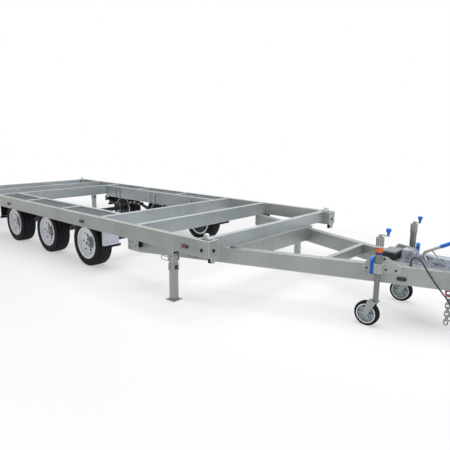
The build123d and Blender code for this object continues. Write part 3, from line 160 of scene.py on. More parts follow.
def galvanisedSteel(name, light, dark, flakeSize=26.0, patchSize=420.0, roughness=0.38, metallic=0.5,
                    edgeHighlight=0.85):
    setup = galvanising
    material, tree, shader, place = startMaterial(name)
    light, dark = toLinear(light), toLinear(dark)
    flakes = addNode(tree, "TexVoronoi", {"Vector": place, "Scale": perMetre(flakeSize)})
    flakeTone = addNode(tree, "SeparateColor", {"Color": flakes.outputs["Color"]})
    clouds = addNode(tree, "TexNoise", {"Vector": place, "Scale": perMetre(patchSize), **setup["patch"]})
    down = addNode(tree, "Mapping", {"Vector": place, "Scale": setup["runStretch"]})
    runs = addNode(tree, "TexNoise", {"Vector": down, "Scale": perMetre(setup["runSize"]), "Detail": 3.0})
    corner = addNode(tree, "Bevel", {"Radius": setup["corner"] * millimetre}, samples=6)
    facing = addNode(tree, "NewGeometry").outputs["Normal"]
    turn = addNode(tree, "VectorMath", {0: corner, 1: facing}, operation="DOT_PRODUCT").outputs["Value"]
    below = dark
    # the last mix paints every corner pale: a painted highlight along the edges
    for source, (least, most), share, over in (
            (clouds, setup["cloud"], 1.0, light), (flakeTone, (0.0, 1.0), setup["flakeShare"], light),
            (runs, setup["run"], setup["runShare"], dark),
            (turn, setup["cornerTurn"], edgeHighlight, toLinear(setup["cornerHighlightColour"]))):
        spread = addNode(tree, "MapRange", {0: source, 1: least, 2: most, 4: share})
        colour = addNode(tree, "Mix", {0: spread, 6: below, 7: over}, data_type="RGBA")
        below = colour.outputs[2]
    less, more = setup["glossSpread"]
    gloss = addNode(tree, "MapRange", {0: flakeTone, 3: roughness - less, 4: roughness + more})
    shader.inputs["Metallic"].default_value = metallic
    endMaterial(tree, shader, colour, gloss, setup["bump"], clouds)
    return material


# Coats of one colour over another: patches spread the second colour and dull the gloss, and grain gives the
# bump. patch and grain: size in millimetres, detail and roughness; spread and dulled: the patches' ranges;
# share: the most of the second colour; wear: what roughness gains where dulled; bump: softened corner and
# depth, in millimetres

# Bright zinc plate over drawn or turned steel: cool, fairly shiny, with faint lines along the draw
zincPlate = {
    "patch": (60.0, 6.0, 0.7), "grain": (60.0, 6.0, 0.7), "stretch": (6.0, 6.0, 1.0),
    "spread": (0.2, 0.8), "share": 1.0, "dulled": (0.3, 0.7), "wear": 0.22,
    "metallic": 0.8, "bump": (2.0, 0.15),
}
# Zinc-coated casting: pale, with the sand mould's grain in it
zincCast = {
    "patch": (90.0, 4.0, 0.5), "grain": (9.0, 6.0, 0.7), "spread": (0.35, 0.65), "share": 1.0,
    "dulled": (0.3, 0.7), "wear": 0.20, "glossGrain": True, "metallic": 0.6, "bump": (4.0, 0.8),
}
# Sprayed paint on steel: slight orange peel, and road dust in its hollows
paintCoat = {
    "patch": (110.0, 7.0, 0.65), "grain": (6.0, 2.0, 0.5), "spread": (0.42, 0.75), "share": 0.3,
    "dulled": (0.3, 0.75), "wear": 0.25, "bump": (2.0, 0.12),
}
# Vulcanised tyre rubber: near black and matt, with bloom in patches, and the grooves' faces painted pale as a
# painted highlight
tyreSkin = {
    "patch": (70.0, 6.0, 0.6), "grain": (4.0, 3.0, 0.5), "spread": (0.4, 0.75), "share": 0.5,
    "dulled": (0.3, 0.7), "wear": 0.20, "specular": 0.2, "bump": (1.0, 0.25),
}
# Injection-moulded plastic: even colour with a fine spark-eroded grain
moulding = {
    "patch": (35.0, 6.0, 0.5), "grain": (3.0, 2.0, 0.5), "spread": (0.45, 0.7), "share": 0.55,
    "dulled": (0.35, 0.7), "wear": 0.15, "bump": (2.0, 0.15),
}
# Drawn cable sheath: as moulded plastic, with a finer grain
sheathing = {**moulding, "grain": (2.0, 2.0, 0.5)}


def coatedFinish(coat, name, under, over, gloss, share=None, grooveHighlight=None):
    material, tree, shader, place = startMaterial(name)
    if "stretch" in coat:
        place = addNode(tree, "Mapping", {"Vector": place, "Scale": coat["stretch"]})
    patch, grain = (addNode(tree, "TexNoise", {"Vector": place, "Scale": perMetre(size), "Detail": detail,
                                               "Roughness": rough})
                    for size, detail, rough in (coat["patch"], coat["grain"]))
    least, most = coat["spread"]
    spread = addNode(tree, "MapRange", {0: patch, 1: least, 2: most, 4: share or coat["share"]})
    least, most = coat["dulled"]
    dulled = addNode(tree, "MapRange", {0: grain if "glossGrain" in coat else patch, 1: least, 2: most,
                                        3: gloss, 4: gloss + coat["wear"]})
    colour = addNode(tree, "Mix", {0: spread, 6: toLinear(under), 7: toLinear(over)}, data_type="RGBA")
    # the grooves' faces take a paler colour: a painted highlight along the tread
    if grooveHighlight:
        grooves = addNode(tree, "Attribute", attribute_name="groove").outputs["Fac"]
        colour = addNode(tree, "Mix", {0: grooves, 6: colour.outputs[2], 7: toLinear(grooveHighlight)},
                         data_type="RGBA")
    shader.inputs["Metallic"].default_value = coat.get("metallic", 0.0)
    shader.inputs["Specular IOR Level"].default_value = coat.get("specular", 0.5)
    endMaterial(tree, shader, colour, dulled, coat["bump"], grain)
    return material


# Moulded acrylic lens: deep clear colour, with a broad soft band of a paler shade across each lens as a
# painted highlight
acrylic = {"highlightBandSize": 75.398, "Roughness": 0.22, "IOR": 1.49, "Coat Weight": 0.1, "bump": (1.0, 0.5)}


def lampLens(name, colour, deep):
    material, tree, shader, place = startMaterial(name)
    # at a scale of one, a diagonal wave repeats every pi / 5 metres along an axis
    bands = addNode(tree, "TexWave", {"Vector": place, "Scale": perMetre(acrylic["highlightBandSize"]) * math.pi / 5},
                    bands_direction="DIAGONAL").outputs["Fac"]
    # the paler colour of the bands is a painted highlight on the lens
    bandHighlightColour = addNode(tree, "Mix", {0: bands, 6: toLinear(deep), 7: toLinear(colour)}, data_type="RGBA")
    tree.links.new(bandHighlightColour.outputs[2], shader.inputs["Base Color"])
    for socket in ("Roughness", "IOR", "Coat Weight"):
        shader.inputs[socket].default_value = acrylic[socket]
    softEdges(tree, shader, acrylic["bump"][0], bands, acrylic["bump"][1])
    return material


# One finish for each material slot
finishes = {
    "galvanised": galvanisedSteel("galvanisedSteel", "#A7ABA8", "#858A88"),
    "zinc": coatedFinish(zincPlate, "brightZincTube", "#7E8383", "#ABAFAF", 0.22),
    "cast_zinc": coatedFinish(zincCast, "zincCasting", "#7E8592", "#B2B8C3", 0.36),
    "black_paint": coatedFinish(paintCoat, "blackChassisPaint", "#121316", "#3A3A39", 0.42),
    "red_paint": coatedFinish(paintCoat, "redHandlePaint", "#A1151C", "#6A2A2A", 0.3),
    "white_rim": coatedFinish(paintCoat, "whiteWheelPaint", "#EEF1F7", "#B4B4B2", 0.28, 0.14),
    "tyre": coatedFinish(tyreSkin, "roadTyreRubber", "#08090D", "#131419", 0.55, grooveHighlight="#4A4C54"),
    "rubber": coatedFinish(tyreSkin, "solidTyreRubber", "#090A0D", "#141518", 0.55, grooveHighlight="#26272B"),
    "cable": coatedFinish(sheathing, "blackCableSheath", "#0E0F11", "#222326", 0.45),
    "blue_plastic": coatedFinish(moulding, "blueGripPlastic", "#005EC6", "#0050AA", 0.46),
    "black_plastic": coatedFinish(moulding, "blackHousingPlastic", "#15171E", "#2A2D35", 0.48),
    "grey_plastic": coatedFinish(moulding, "greyLidPlastic", "#787B83", "#656870", 0.5),
    "red_lens": lampLens("redAcrylicLens", "#96141A", "#520A0E"),
}

# Finishes that differ from their slot's usual one
cleanFrameSteel = galvanisedSteel("cleanGalvanisedSteel", "#B0B7BB", "#8F969A")
# the wheel guards' plate is dark grey and barely metal: painted shade, for the shade the guards lie in
# between the rails
shadeDarkGuardPlate = galvanisedSteel("dullGalvanisedPlate", "#565B5E", "#3F4447", 34.0, 260.0, 0.65, 0.05, 0.3)
agedZincTube = coatedFinish(zincPlate, "agedZincTube", "#5E6461", "#8B918D", 0.28)
brightSleeveZinc = coatedFinish(zincPlate, "brightZincSleeve", "#8E9392", "#C4C8C7", 0.10)
clampSteel = galvanisedSteel("weatheredGalvanisedClamp", "#B8BCBA", "#8C918F", 20.0, 160.0)
paleZincCasting = coatedFinish(zincCast, "paleZincCasting", "#A2A6AA", "#CBCFD3", 0.36)
greyRimPaint = coatedFinish(paintCoat, "greyCastorPaint", "#AEB9BD", "#838C8F", 0.32)
paleApronSteel = galvanisedSteel("freshGalvanisedSheet", "#C8CDD8", "#A8AEBA", 22.0, 300.0, 0.45, 0.2)
orangeBandFilm = coatedFinish(moulding, "orangeBandFilm", "#D26C28", "#B8581C", 0.42)
navyBandFilm = coatedFinish(moulding, "navyBandFilm", "#1C2C70", "#16235A", 0.4)
whiteRingPlastic = coatedFinish(moulding, "whiteRingPlastic", "#D8DAD8", "#AEB0AE", 0.4)
# paler blue for the levers' tops: a painted highlight
paleBluePlastic = coatedFinish(moulding, "paleBluePlastic", "#2690E6", "#1F78C8", 0.34)
brownLens = lampLens("darkRedAcrylicLens", "#160807", "#0B0404")
nodeFinishes = {
    "cross_members": cleanFrameSteel,
    "end_members": cleanFrameSteel,
    "inner_rails": cleanFrameSteel,
    "wheel_guards": shadeDarkGuardPlate,
    "guard_aprons": paleApronSteel,
    "twist_locks": paleZincCasting,
    "jockey_clamps": clampSteel,
    "jockey_tubes": agedZincTube,
    **{f"jockey_leg_{side}": agedZincTube for side in sides},
    **{f"jockey_rim_{side}": greyRimPaint for side in sides},
}

for subpart in frame["record"]["subparts"]:
    worn = nodes[subpart["node"]].data.materials
    worn.clear()
    worn.append(nodeFinishes.get(subpart["node"], finishes[subpart["material_slot"]]))
print("materials on", len(nodes), "nodes")


def finishPiece(piece, body, slot, *replaced):
    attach(piece, body)
    if replaced:
        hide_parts(*replaced)


def meshFrom(name, bm, material, smooth=40.0):
    mesh = bpy.data.meshes.new(name)
    bmesh.ops.recalc_face_normals(bm, faces=bm.faces)
    bm.to_mesh(mesh)
    bm.free()
    mesh.materials.append(material)
    mesh.shade_smooth()
    mesh.set_sharp_from_angle(angle=math.radians(smooth))
    return mesh


def meshPiece(name, bm, slot, body, *replaced, material=None):
    piece = newObject(name, meshFrom(name, bm, material or finishes[slot]))
    finishPiece(piece, body, slot, *replaced)
    return piece


def aroundCircle(segments):
    return [2 * math.pi * step / segments for step in range(segments)]


# Faces from each ring to the next; a ring of one point closes an end, and joined adds last to first
def bridgeRings(bm, rings, joined=False):
    for lower, upper in zip(rings, rings[1:] + rings[:1] if joined else rings[1:]):
        for step in range(max(len(lower), len(upper))):
            corners = [lower[step % len(lower)], lower[(step + 1) % len(lower)],
                       upper[(step + 1) % len(upper)], upper[step % len(upper)]]
            bm.faces.new(list(dict.fromkeys(corners)))


# A closed section turned about a wheel's axle; shift may move a point sideways round the turn
def turnSection(bm, section, centre, segments, shift=None):
    rings = []
    for step, angle in enumerate(aroundCircle(segments)):
        ring = []
        for index, (radius, across) in enumerate(section):
            side = across + (shift(index, step) if shift else 0.0)
            place = Vector((radius * math.sin(angle), side, radius * math.cos(angle)))
            ring.append(bm.verts.new(centre + place))
        rings.append(ring)
    bridgeRings(bm, rings, True)


# A form turned about any axis from rows of (radius, along); a row of no radius closes its end
def turnForm(bm, profile, origin, axis, segments=32, flutes=0, fluteDepth=0.0):
    turn = Vector(axis).to_track_quat("Z", "Y").to_matrix()
    rings = []
    for radius, along in profile:
        ring = []
        for angle in aroundCircle(segments if radius > 0 else 1):
            reach = radius * (1 - fluteDepth * (0.5 + 0.5 * math.cos(flutes * angle)))
            offset = turn @ Vector((reach * math.cos(angle), reach * math.sin(angle), along))
            ring.append(bm.verts.new(Vector(origin) + offset))
        rings.append(ring)
    bridgeRings(bm, rings)


# A closed loop of round wire through a few points
def wireLoop(bm, points, radius, segments):
    rings = []
    for before, point, after in zip(points[-1:] + points, points, points[1:] + points[:1]):
        turn = (after - before).to_track_quat("Z", "Y").to_matrix() * radius
        rings.append([bm.verts.new(point + turn @ Vector((math.cos(angle), math.sin(angle), 0)))
                      for angle in aroundCircle(segments)])
    bridgeRings(bm, rings, True)


# A bar with rounded long edges, given by its middle, its three directions and its half sizes
def softBar(bm, middle, directions, halves, rounding):
    made = bmesh.ops.create_cube(bm, size=2.0)["verts"]
    turn = Matrix(directions).transposed()
    for vert in made:
        vert.co = Vector(middle) + turn @ Vector([c * h for c, h in zip(vert.co, halves)])
    edges = list({edge for vert in made for edge in vert.link_edges})
    bmesh.ops.bevel(bm, geom=edges, offset=rounding, segments=2, affect="EDGES", profile=0.5)


# A shallow dome with a rounded outline on a face: run and up lie in the face, out points from it
def lensDome(bm, centre, run, up, out, length, width, rise, square=2.0, segments=40, steps=5):
    rings = []
    for step in range(steps):
        share = math.cos(0.5 * math.pi * step / steps)
        height = rise * math.sin(0.5 * math.pi * step / steps)
        ring = []
        for angle in aroundCircle(segments):
            c, s = math.cos(angle), math.sin(angle)
            x = math.copysign(abs(c) ** (2 / square), c) * length / 2 * share
            y = math.copysign(abs(s) ** (2 / square), s) * width / 2 * share
            ring.append(bm.verts.new(centre + run * x + up * y + out * height))
        rings.append(ring)
    bridgeRings(bm, rings + [[bm.verts.new(centre + out * rise)]])
    bm.faces.new(list(reversed(rings[0])))


# Road tyre, in metres. Rows run from the tread's edge to the bead: the shoulder below the tread and out from
# its edge, the wall below the tread and in from the bulge, the foot up from the bead and out from the middle
roadTyre = {
    "segments": 120,
    "grooves": 5,
    "grooveHalf": 0.005,
    "grooveDepth": 0.0085,
    "grooveLip": 0.0015,
    "grooveFloor": 0.6,
    "treadHalf": 0.082,
    "crownDrop": 0.004,
    "zigzag": 0.0012,
    "zigzagSteps": 2,
    "bulge": 0.1025,
    "bead": 0.1952,
    "shoulder": ((0.0045, 0), (0.010, 0.010)),
    "wall": ((0.022, 0.006), (0.030, 0.005), (0.045, 0.001), (0.060, 0), (0.070, 0.0005), (0.072, 0.003),
             (0.078, 0.006), (0.080, 0.005), (0.083, 0.005), (0.085, 0.008)),
    "foot": ((0.013, 0.094), (0.008, 0.088), (0, 0.084)),
}


def tyreSection(setup, outer):
    half, lip, depth, gap = (setup[key] for key in ("treadHalf", "grooveLip", "grooveDepth", "grooveHalf"))
    floor = gap * setup["grooveFloor"]
    # the third number marks a groove point for the painted highlight
    groove = ((-gap - lip, 0, 0.0), (-gap, lip, 1.0), (-floor, depth, 1.0),
              (floor, depth, 1.0), (gap, lip, 1.0), (gap + lip, 0, 0.0))
    pitch = 2 * half / (setup["grooves"] + 1)
    tread, highlightShares = [], []
    for order in range(setup["grooves"]):
        middle = -half + pitch * (order + 1)
        crown = outer - setup["crownDrop"] * (middle / half) ** 2
        for across, drop, highlighted in groove:
            tread.append((crown - drop, middle + across))
            highlightShares.append(highlighted)
    wall = [(outer - drop, half + out) for drop, out in setup["shoulder"]]
    wall += [(outer - drop, setup["bulge"] - inset) for drop, inset in setup["wall"]]
    wall += [(setup["bead"] + rise, across) for rise, across in setup["foot"]]
    section = [(radius, -across) for radius, across in reversed(wall)] + tread + wall
    unhighlighted = [0.0] * len(wall)
    return section, range(len(wall), len(wall) + len(tread)), unhighlighted + highlightShares + unhighlighted


def buildRoadTyres(setup):
    for row, side, out in wheels:
        node = f"tyre_{row}_{side}"
        low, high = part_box(node)
        section, grooved, highlighted = tyreSection(setup, (high[2] - low[2]) / 2)

        def zigzag(index, step):
            if index not in grooved:
                return 0.0
            return setup["zigzag"] * (1 if (step // setup["zigzagSteps"]) % 2 else -1)

        bm = bmesh.new()
        turnSection(bm, section, boxCentre(node), setup["segments"], zigzag)
        tyre = meshPiece(f"treadTyre_{row}_{side}", bm, "tyre", f"wheel_{row}_{side}", node)
        groove = tyre.data.attributes.new("groove", "FLOAT", "POINT")
        groove.data.foreach_set("value", highlighted * setup["segments"])


buildRoadTyres(roadTyre)
print("road tyres turned")

# What sits in each road wheel: rows of radius from the axle and distance out from the wheel's middle, or from
# the valve's and a vent hole's own middle; then each piece's slot and finish
wheelCentre = {
    "hubRing": [(0.0790, 0.0285), (0.0790, 0.0325), (0.0770, 0.0335), (0.0500, 0.0335), (0.0490, 0.0395),
                (0.0465, 0.0428), (0.0330, 0.0428), (0.0330, 0.0380), (0.0450, 0.0285)],
    # the drum shade is a black sheet behind the disc's windows: painted shade for the dark inside the wheel
    "drumShade": [(0.1680, 0.0425), (0.1640, 0.0418), (0.1280, 0.0198), (0.1210, 0.0198), (0.1210, 0.0180),
                  (0.1280, 0.0180), (0.1640, 0.0400), (0.1680, 0.0407)],
    "bearingCap": [(0, 0.0400), (0.0352, 0.0400), (0.0352, 0.0450), (0.0336, 0.0462), (0.0336, 0.0620),
                   (0.0305, 0.0675), (0.0230, 0.0708), (0, 0.0720)],
    "tyreValve": [(0, -0.004), (0.0065, -0.004), (0.0065, 0.006), (0.0042, 0.009), (0.0042, 0.024),
                  (0.0048, 0.0245), (0.0048, 0.033), (0.0030, 0.0345), (0, 0.0345)],
    # the vent holes are black dished discs on the disc: painted shade for the dark of open holes
    "ventHoles": [(0, 0.0290), (0.0195, 0.0290), (0.0195, 0.0304), (0.0185, 0.0308), (0.0172, 0.0306),
                  (0.0060, 0.0303), (0, 0.0303)],
    "valvePlace": (0.170, 0.054), "valveLean": -0.25, "valveSegments": 16,
    "vents": 5, "ventCircle": 0.1010, "ventStart": 0.5, "ventSegments": 24,
    "segments": 48,
    "finishes": {"hubRing": ("zinc", agedZincTube), "drumShade": ("black_paint", None),
                 "bearingCap": ("zinc", None), "tyreValve": ("rubber", None),
                 "ventHoles": ("black_paint", None)},
}


# Points evenly round a wheel's axle, the first a part of a step past the top
def roundAxle(centre, count, radius, start):
    for order in range(count):
        angle = 2 * math.pi * (order + start) / count
        yield centre + Vector((math.sin(angle), 0, math.cos(angle))) * radius


def buildWheelCentres(setup):
    for row, side, out in wheels:
        centre, outward = boxCentre(f"rim_{row}_{side}"), (0, out, 0)
        forms = {name: bmesh.new() for name in setup["finishes"]}
        for name in ("hubRing", "drumShade"):
            turnSection(forms[name], [(r, out * a) for r, a in setup[name]], centre, setup["segments"])
        turnForm(forms["bearingCap"], setup["bearingCap"], centre, outward, setup["segments"])
        reach, foot = setup["valvePlace"]
        turnForm(forms["tyreValve"], setup["tyreValve"], centre + Vector((reach, out * foot, 0)),
                 (setup["valveLean"], out, 0), setup["valveSegments"])
        for place in roundAxle(centre, setup["vents"], setup["ventCircle"], setup["ventStart"]):
            turnForm(forms["ventHoles"], setup["ventHoles"], place, outward, setup["ventSegments"])
        for name, (slot, finish) in setup["finishes"].items():
            meshPiece(f"{name}_{row}_{side}", forms[name], slot, f"wheel_{row}_{side}", material=finish)


buildWheelCentres(wheelCentre)
print("wheel centres turned")

# Castor tyre and the bright rolled lip of its rim. Rows: the wall below the tread and in from the side, the
# foot up from the seat and in from the side
castorTyre = {
    "segments": 72,
    "ribs": 3, "ribGap": 0.004, "ribDepth": 0.003,
    "seat": 0.0238, "shoulder": 0.009, "treadEdge": 0.0004,
    "wall": ((0.003, 0.004), (0.008, 0.0005), (0.015, 0)),
    "foot": ((0.003, 0.003), (0, 0.007)),
    "lipWidth": 0.007, "lipProud": 0.0016, "lipSink": 0.002, "lipGap": 0.0006,
}


def buildCastorLip(setup, side, outer):
    rim = f"jockey_rim_{side}"
    low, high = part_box(rim)
    face, proud = (high[1] - low[1]) / 2, setup["lipProud"]
    inner, middle = outer - setup["lipWidth"], outer - setup["lipWidth"] / 2
    bm = bmesh.new()
    for out in sides.values():
        section = [(outer, face - setup["lipSink"]), (outer, face + proud / 2), (middle, face + proud),
                   (inner, face + proud / 2), (inner, face - setup["lipSink"])]
        turnSection(bm, [(r, out * a) for r, a in section], boxCentre(rim), setup["segments"])
    meshPiece(f"castorLip_{side}", bm, "white_rim", f"jockey_wheel_{side}")


def buildCastorTyres(setup):
    for side in sides:
        node = f"jockey_tyre_{side}"
        low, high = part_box(node)
        outer, half = (high[2] - low[2]) / 2, (high[1] - low[1]) / 2
        inner, shoulder = outer - setup["seat"], half - setup["shoulder"]
        pitch = 2 * shoulder / (setup["ribs"] + 1)
        tread = []
        for order in range(setup["ribs"]):
            middle = -shoulder + pitch * (order + 1)
            for across, drop in ((-1, 0), (-0.5, 1), (0.5, 1), (1, 0)):
                tread.append((outer - drop * setup["ribDepth"], middle + across * setup["ribGap"]))
        wall = [(outer - setup["treadEdge"], shoulder)]
        wall += [(outer - drop, half - inset) for drop, inset in setup["wall"]]
        wall += [(inner + rise, half - inset) for rise, inset in setup["foot"]]
        section = [(radius, -across) for radius, across in reversed(wall)] + tread + wall
        bm = bmesh.new()
        turnSection(bm, section, boxCentre(node), setup["segments"])
        meshPiece(f"castorTyre_{side}", bm, "rubber", f"jockey_wheel_{side}", node)
        buildCastorLip(setup, side, inner - setup["lipGap"])


buildCastorTyres(castorTyre)
print("castor tyres turned")

# Bands round the near jockey tube and rings round both heads, the sleeve fluted. Rows: finish, slot, low and
# high edge, radius, flutes and sides
jockeyBands = {
    "inner": 0.0290, "edge": 0.0006, "segments": 96, "fluteDepth": 0.09,
    "bands": {
        "orangeBand": (orangeBandFilm, "red_paint", 0.684, 0.727, 0.0304, 0, ("right",)),
        "navyBand": (navyBandFilm, "blue_plastic", 0.664, 0.684, 0.0303, 0, ("right",)),
        "whiteRing": (whiteRingPlastic, "grey_plastic", 0.727, 0.741, 0.0345, 0, ("right",)),
        "headSleeve": (brightSleeveZinc, "zinc", 0.741, 0.802, 0.0338, 12, ("right", "left")),
        "sleeveRing": (finishes["zinc"], "zinc", 0.802, 0.8152, 0.0345, 0, ("right", "left")),
    },
}


def buildJockeyBands(setup):
    inner, edge = setup["inner"], setup["edge"]
    for name, (finish, slot, low, high, radius, flutes, places) in setup["bands"].items():
        profile = [(inner, low), (radius - edge, low), (radius, low + edge), (radius, high - edge),
                   (radius - edge, high), (inner, high), (inner, low)]
        for side in places:
            post = boxCentre(f"jockey_leg_{side}")
            bm = bmesh.new()
            turnForm(bm, profile, (post.x, post.y, 0), upright, setup["segments"], flutes,
                     setup["fluteDepth"] if flutes else 0.0)
            bmesh.ops.remove_doubles(bm, verts=bm.verts, dist=1e-6)
            meshPiece(f"{name}_{side}", bm, slot, "chassis", material=finish)


buildJockeyBands(jockeyBands)
print("jockey bands turned")

# Hand grips: tulip knobs on the cranks, clamp levers and the brake lever's ribbed grip. Rows are radius and
# distance along, and in a rib of the brake grip a share of the ribs' pitch
handGrips = {
    "knob": [(0, 0), (0.0090, 0), (0.0105, 0.006), (0.0115, 0.016), (0.0150, 0.028), (0.0205, 0.037),
             (0.0228, 0.044), (0.0230, 0.050), (0.0205, 0.056), (0.0140, 0.0605), (0, 0.062)],
    "knobSegments": 40, "knobFlutes": 10, "knobFluteDepth": 0.05,
    "crankReach": 0.066,
    "crankTurns": {"left": -25.0, "right": 0.0},
    "lever": [(0, 0), (0.0110, 0.001), (0.0165, 0.005), (0.0188, 0.012), (0.0184, 0.022), (0.0166, 0.034),
              (0.0162, 0.070), (0.0172, 0.110), (0.0180, 0.128), (0, 0.128)],
    # the lever caps are a paler blue: a painted highlight on the levers' tops
    "leverCap": [(0, 0.128), (0.0184, 0.128), (0.0192, 0.134), (0.0190, 0.145), (0.0164, 0.153),
                 (0.0100, 0.157), (0, 0.158)],
    "leverReach": 0.056,
    "leverLow": 0.475,
    "brakeStart": (0.325, -0.064, 0.190),
    "brakeRun": (0.143, 0, 0.080),
    "brakeCollar": [(0, 0), (0.018, 0), (0.018, 0.006), (0.015, 0.009)],
    "brakeRib": [(0.015, 0), (0.017, 0.25), (0.017, 0.6), (0.015, 0.85)],
    "brakeEnd": [(0.018, 0.134), (0.018, 0.142), (0.014, 0.148), (0, 0.150)],
    "ribs": 9, "ribStart": 0.014, "ribsLength": 0.116,
}


def buildHandGrips(setup):
    grips, caps = bmesh.new(), bmesh.new()
    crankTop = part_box("jockey_cranks")[1].z
    for side, out in sides.items():
        post = boxCentre(f"jockey_leg_{side}")
        turn = math.radians(setup["crankTurns"][side])
        reach = Vector((math.cos(turn), math.sin(turn), 0)) * setup["crankReach"]
        turnForm(grips, setup["knob"], (post.x + reach.x, post.y + reach.y, crankTop), upright,
                 setup["knobSegments"], setup["knobFlutes"], setup["knobFluteDepth"])
        foot = (post.x + out * setup["leverReach"], post.y, setup["leverLow"])
        turnForm(grips, setup["lever"], foot, upright)
        turnForm(caps, setup["leverCap"], foot, upright)
    pitch = setup["ribsLength"] / setup["ribs"]
    ribs = [(radius, setup["ribStart"] + pitch * (order + share))
            for order in range(setup["ribs"]) for radius, share in setup["brakeRib"]]
    corner = Vector((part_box("coupling_body")[0].x, 0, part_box("nose_plate")[1].z))
    turnForm(grips, setup["brakeCollar"] + ribs + setup["brakeEnd"], corner + Vector(setup["brakeStart"]),
             setup["brakeRun"])
    meshPiece("handGrips", grips, "blue_plastic", "chassis", "hand_grips")
    meshPiece("leverCaps", caps, "blue_plastic", "chassis", material=paleBluePlastic)


buildHandGrips(handGrips)
print("hand grips turned")

# Frame lines that the small pieces are set out from, in metres
frameLines = {
    "frontLockX": 1.8465,
    "lockSpacing": 5.853,
    "housingHalf": 0.090,
    "halfWidth": 1.200,
    "railInner": 1.140,
    "railBottom": 0.535,
    "deck": 0.695,
    "innerRailY": 0.850,
    "apronInner": 0.9025,
    "crossBacks": (1.040, 1.720, 4.560, 5.240),
    "outriggerX": (-0.786, -1.791),
    "memberHalf": 0.030,
    "outriggerHalf": 0.025,
    "beamHalf": 0.744,
    "beamSlope": 0.342,
    "beamFrontX": 3.6465,
    "beamSkew": 0.0846,
    "lowerBeamAhead": 0.040,
    "drawbarBottom": 0.375,
    "noseFrontX": 3.7465,
    "plateRearX": 3.0965,
}
lockEnds = ((frameLines["frontLockX"], 1), (frameLines["frontLockX"] - frameLines["lockSpacing"], -1))


def beamY(x):
    return frameLines["beamHalf"] - frameLines["beamSlope"] * (x - frameLines["frontLockX"])


def beamDirections(out):
    angle = math.atan(frameLines["beamSlope"])
    run = Vector((math.cos(angle), -out * math.sin(angle), 0))
    normal = Vector((math.sin(angle), out * math.cos(angle), 0))
    return run, normal


# Oval lenses on the marker lamps: distances behind the front lock line, the middle one brown, and the brown
# drawbar pair ahead, a third of the way up the beam
markerLenses = {
    "backs": {0.219: "red", 2.053: "brown", 4.094: "red"},
    "rise": 0.067,
    "baseDepth": 0.012,
    "sizes": (0.064, 0.024, 0.006),
    "square": 2.4,
    "beamX": 3.3585,
    "beamShare": 1 / 3,
}


def buildMarkerLenses(setup):
    lines = frameLines
    lenses = {"red": bmesh.new(), "brown": bmesh.new()}
    depth, form = setup["baseDepth"], (*setup["sizes"], setup["square"])
    beamZ = lines["drawbarBottom"] + (lines["railBottom"] - lines["drawbarBottom"]) * setup["beamShare"]
    for out in sides.values():
        for back, tint in setup["backs"].items():
            face = Vector((lines["frontLockX"] - back, out * (lines["halfWidth"] + depth),
                           lines["railBottom"] + setup["rise"]))
            lensDome(lenses[tint], face, forwards, upright, leftwards * out, *form)
        run, normal = beamDirections(out)
        face = Vector((setup["beamX"], out * beamY(setup["beamX"]), beamZ)) + normal * depth
        lensDome(lenses["brown"], face, run, upright, normal, *form)
    meshPiece("markerLenses", lenses["red"], "red_lens", "chassis")
    meshPiece("beamLenses", lenses["brown"], "red_lens", "chassis", material=brownLens)


buildMarkerLenses(markerLenses)

# Tail lamps: a black bezel and three moulded red panes on each housing
tailLamp = {
    "width": 0.240,
    "panes": 3, "gap": 0.006, "rise": 0.005, "square": 7.0,
    "bezelWidth": 0.009, "bezelProud": 0.004, "bezelHalf": 0.006, "overlap": 0.001, "rounding": 0.003,
}


def buildTailPanes(setup):
    low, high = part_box("tail_lamps")
    panes, bezels = bmesh.new(), bmesh.new()
    height, width, bezel, gap = high.z - low.z, setup["width"], setup["bezelWidth"], setup["gap"]
    paneWidth = (width - 2 * bezel - (setup["panes"] - 1) * gap) / setup["panes"]
    back = Vector((-1, 0, 0))
    for out in sides.values():
        middle = Vector((low.x, out * (high.y - width / 2), (low.z + high.z) / 2))
        for order in range(setup["panes"]):
            shift = (order - (setup["panes"] - 1) / 2) * (paneWidth + gap)
            lensDome(panes, middle + leftwards * shift, leftwards, upright, back, paneWidth,
                     height - 2 * bezel, setup["rise"], setup["square"])
        middle.x += setup["bezelHalf"] - setup["bezelProud"]
        for turn in (1, -1):
            for shift, halfY, halfZ in ((upright * (height - bezel) / 2, width / 2, bezel / 2),
                                        (leftwards * (width - bezel) / 2, bezel / 2, height / 2)):
                halves = (setup["bezelHalf"], halfY + setup["overlap"], halfZ + setup["overlap"])
                directions = (back, leftwards, upright)
                softBar(bezels, middle + shift * turn, directions, halves, setup["rounding"])
    meshPiece("tailPanes", panes, "red_lens", "chassis")
    meshPiece("tailBezels", bezels, "black_plastic", "chassis")


buildTailPanes(tailLamp)
print("lamp lenses set")

# Black rubber strips under the aprons' lips and black sheets on the wheel side of the rear aprons: painted
# shade under the lips and on the rear aprons' faces towards the wheels
apronShadeRubber = {"lip": 0.040, "drop": 0.030, "stripRounding": 0.002,
               "shadeSheet": 0.004, "shadeSheetMargin": 0.006, "shadeSheetRounding": 0.0012}


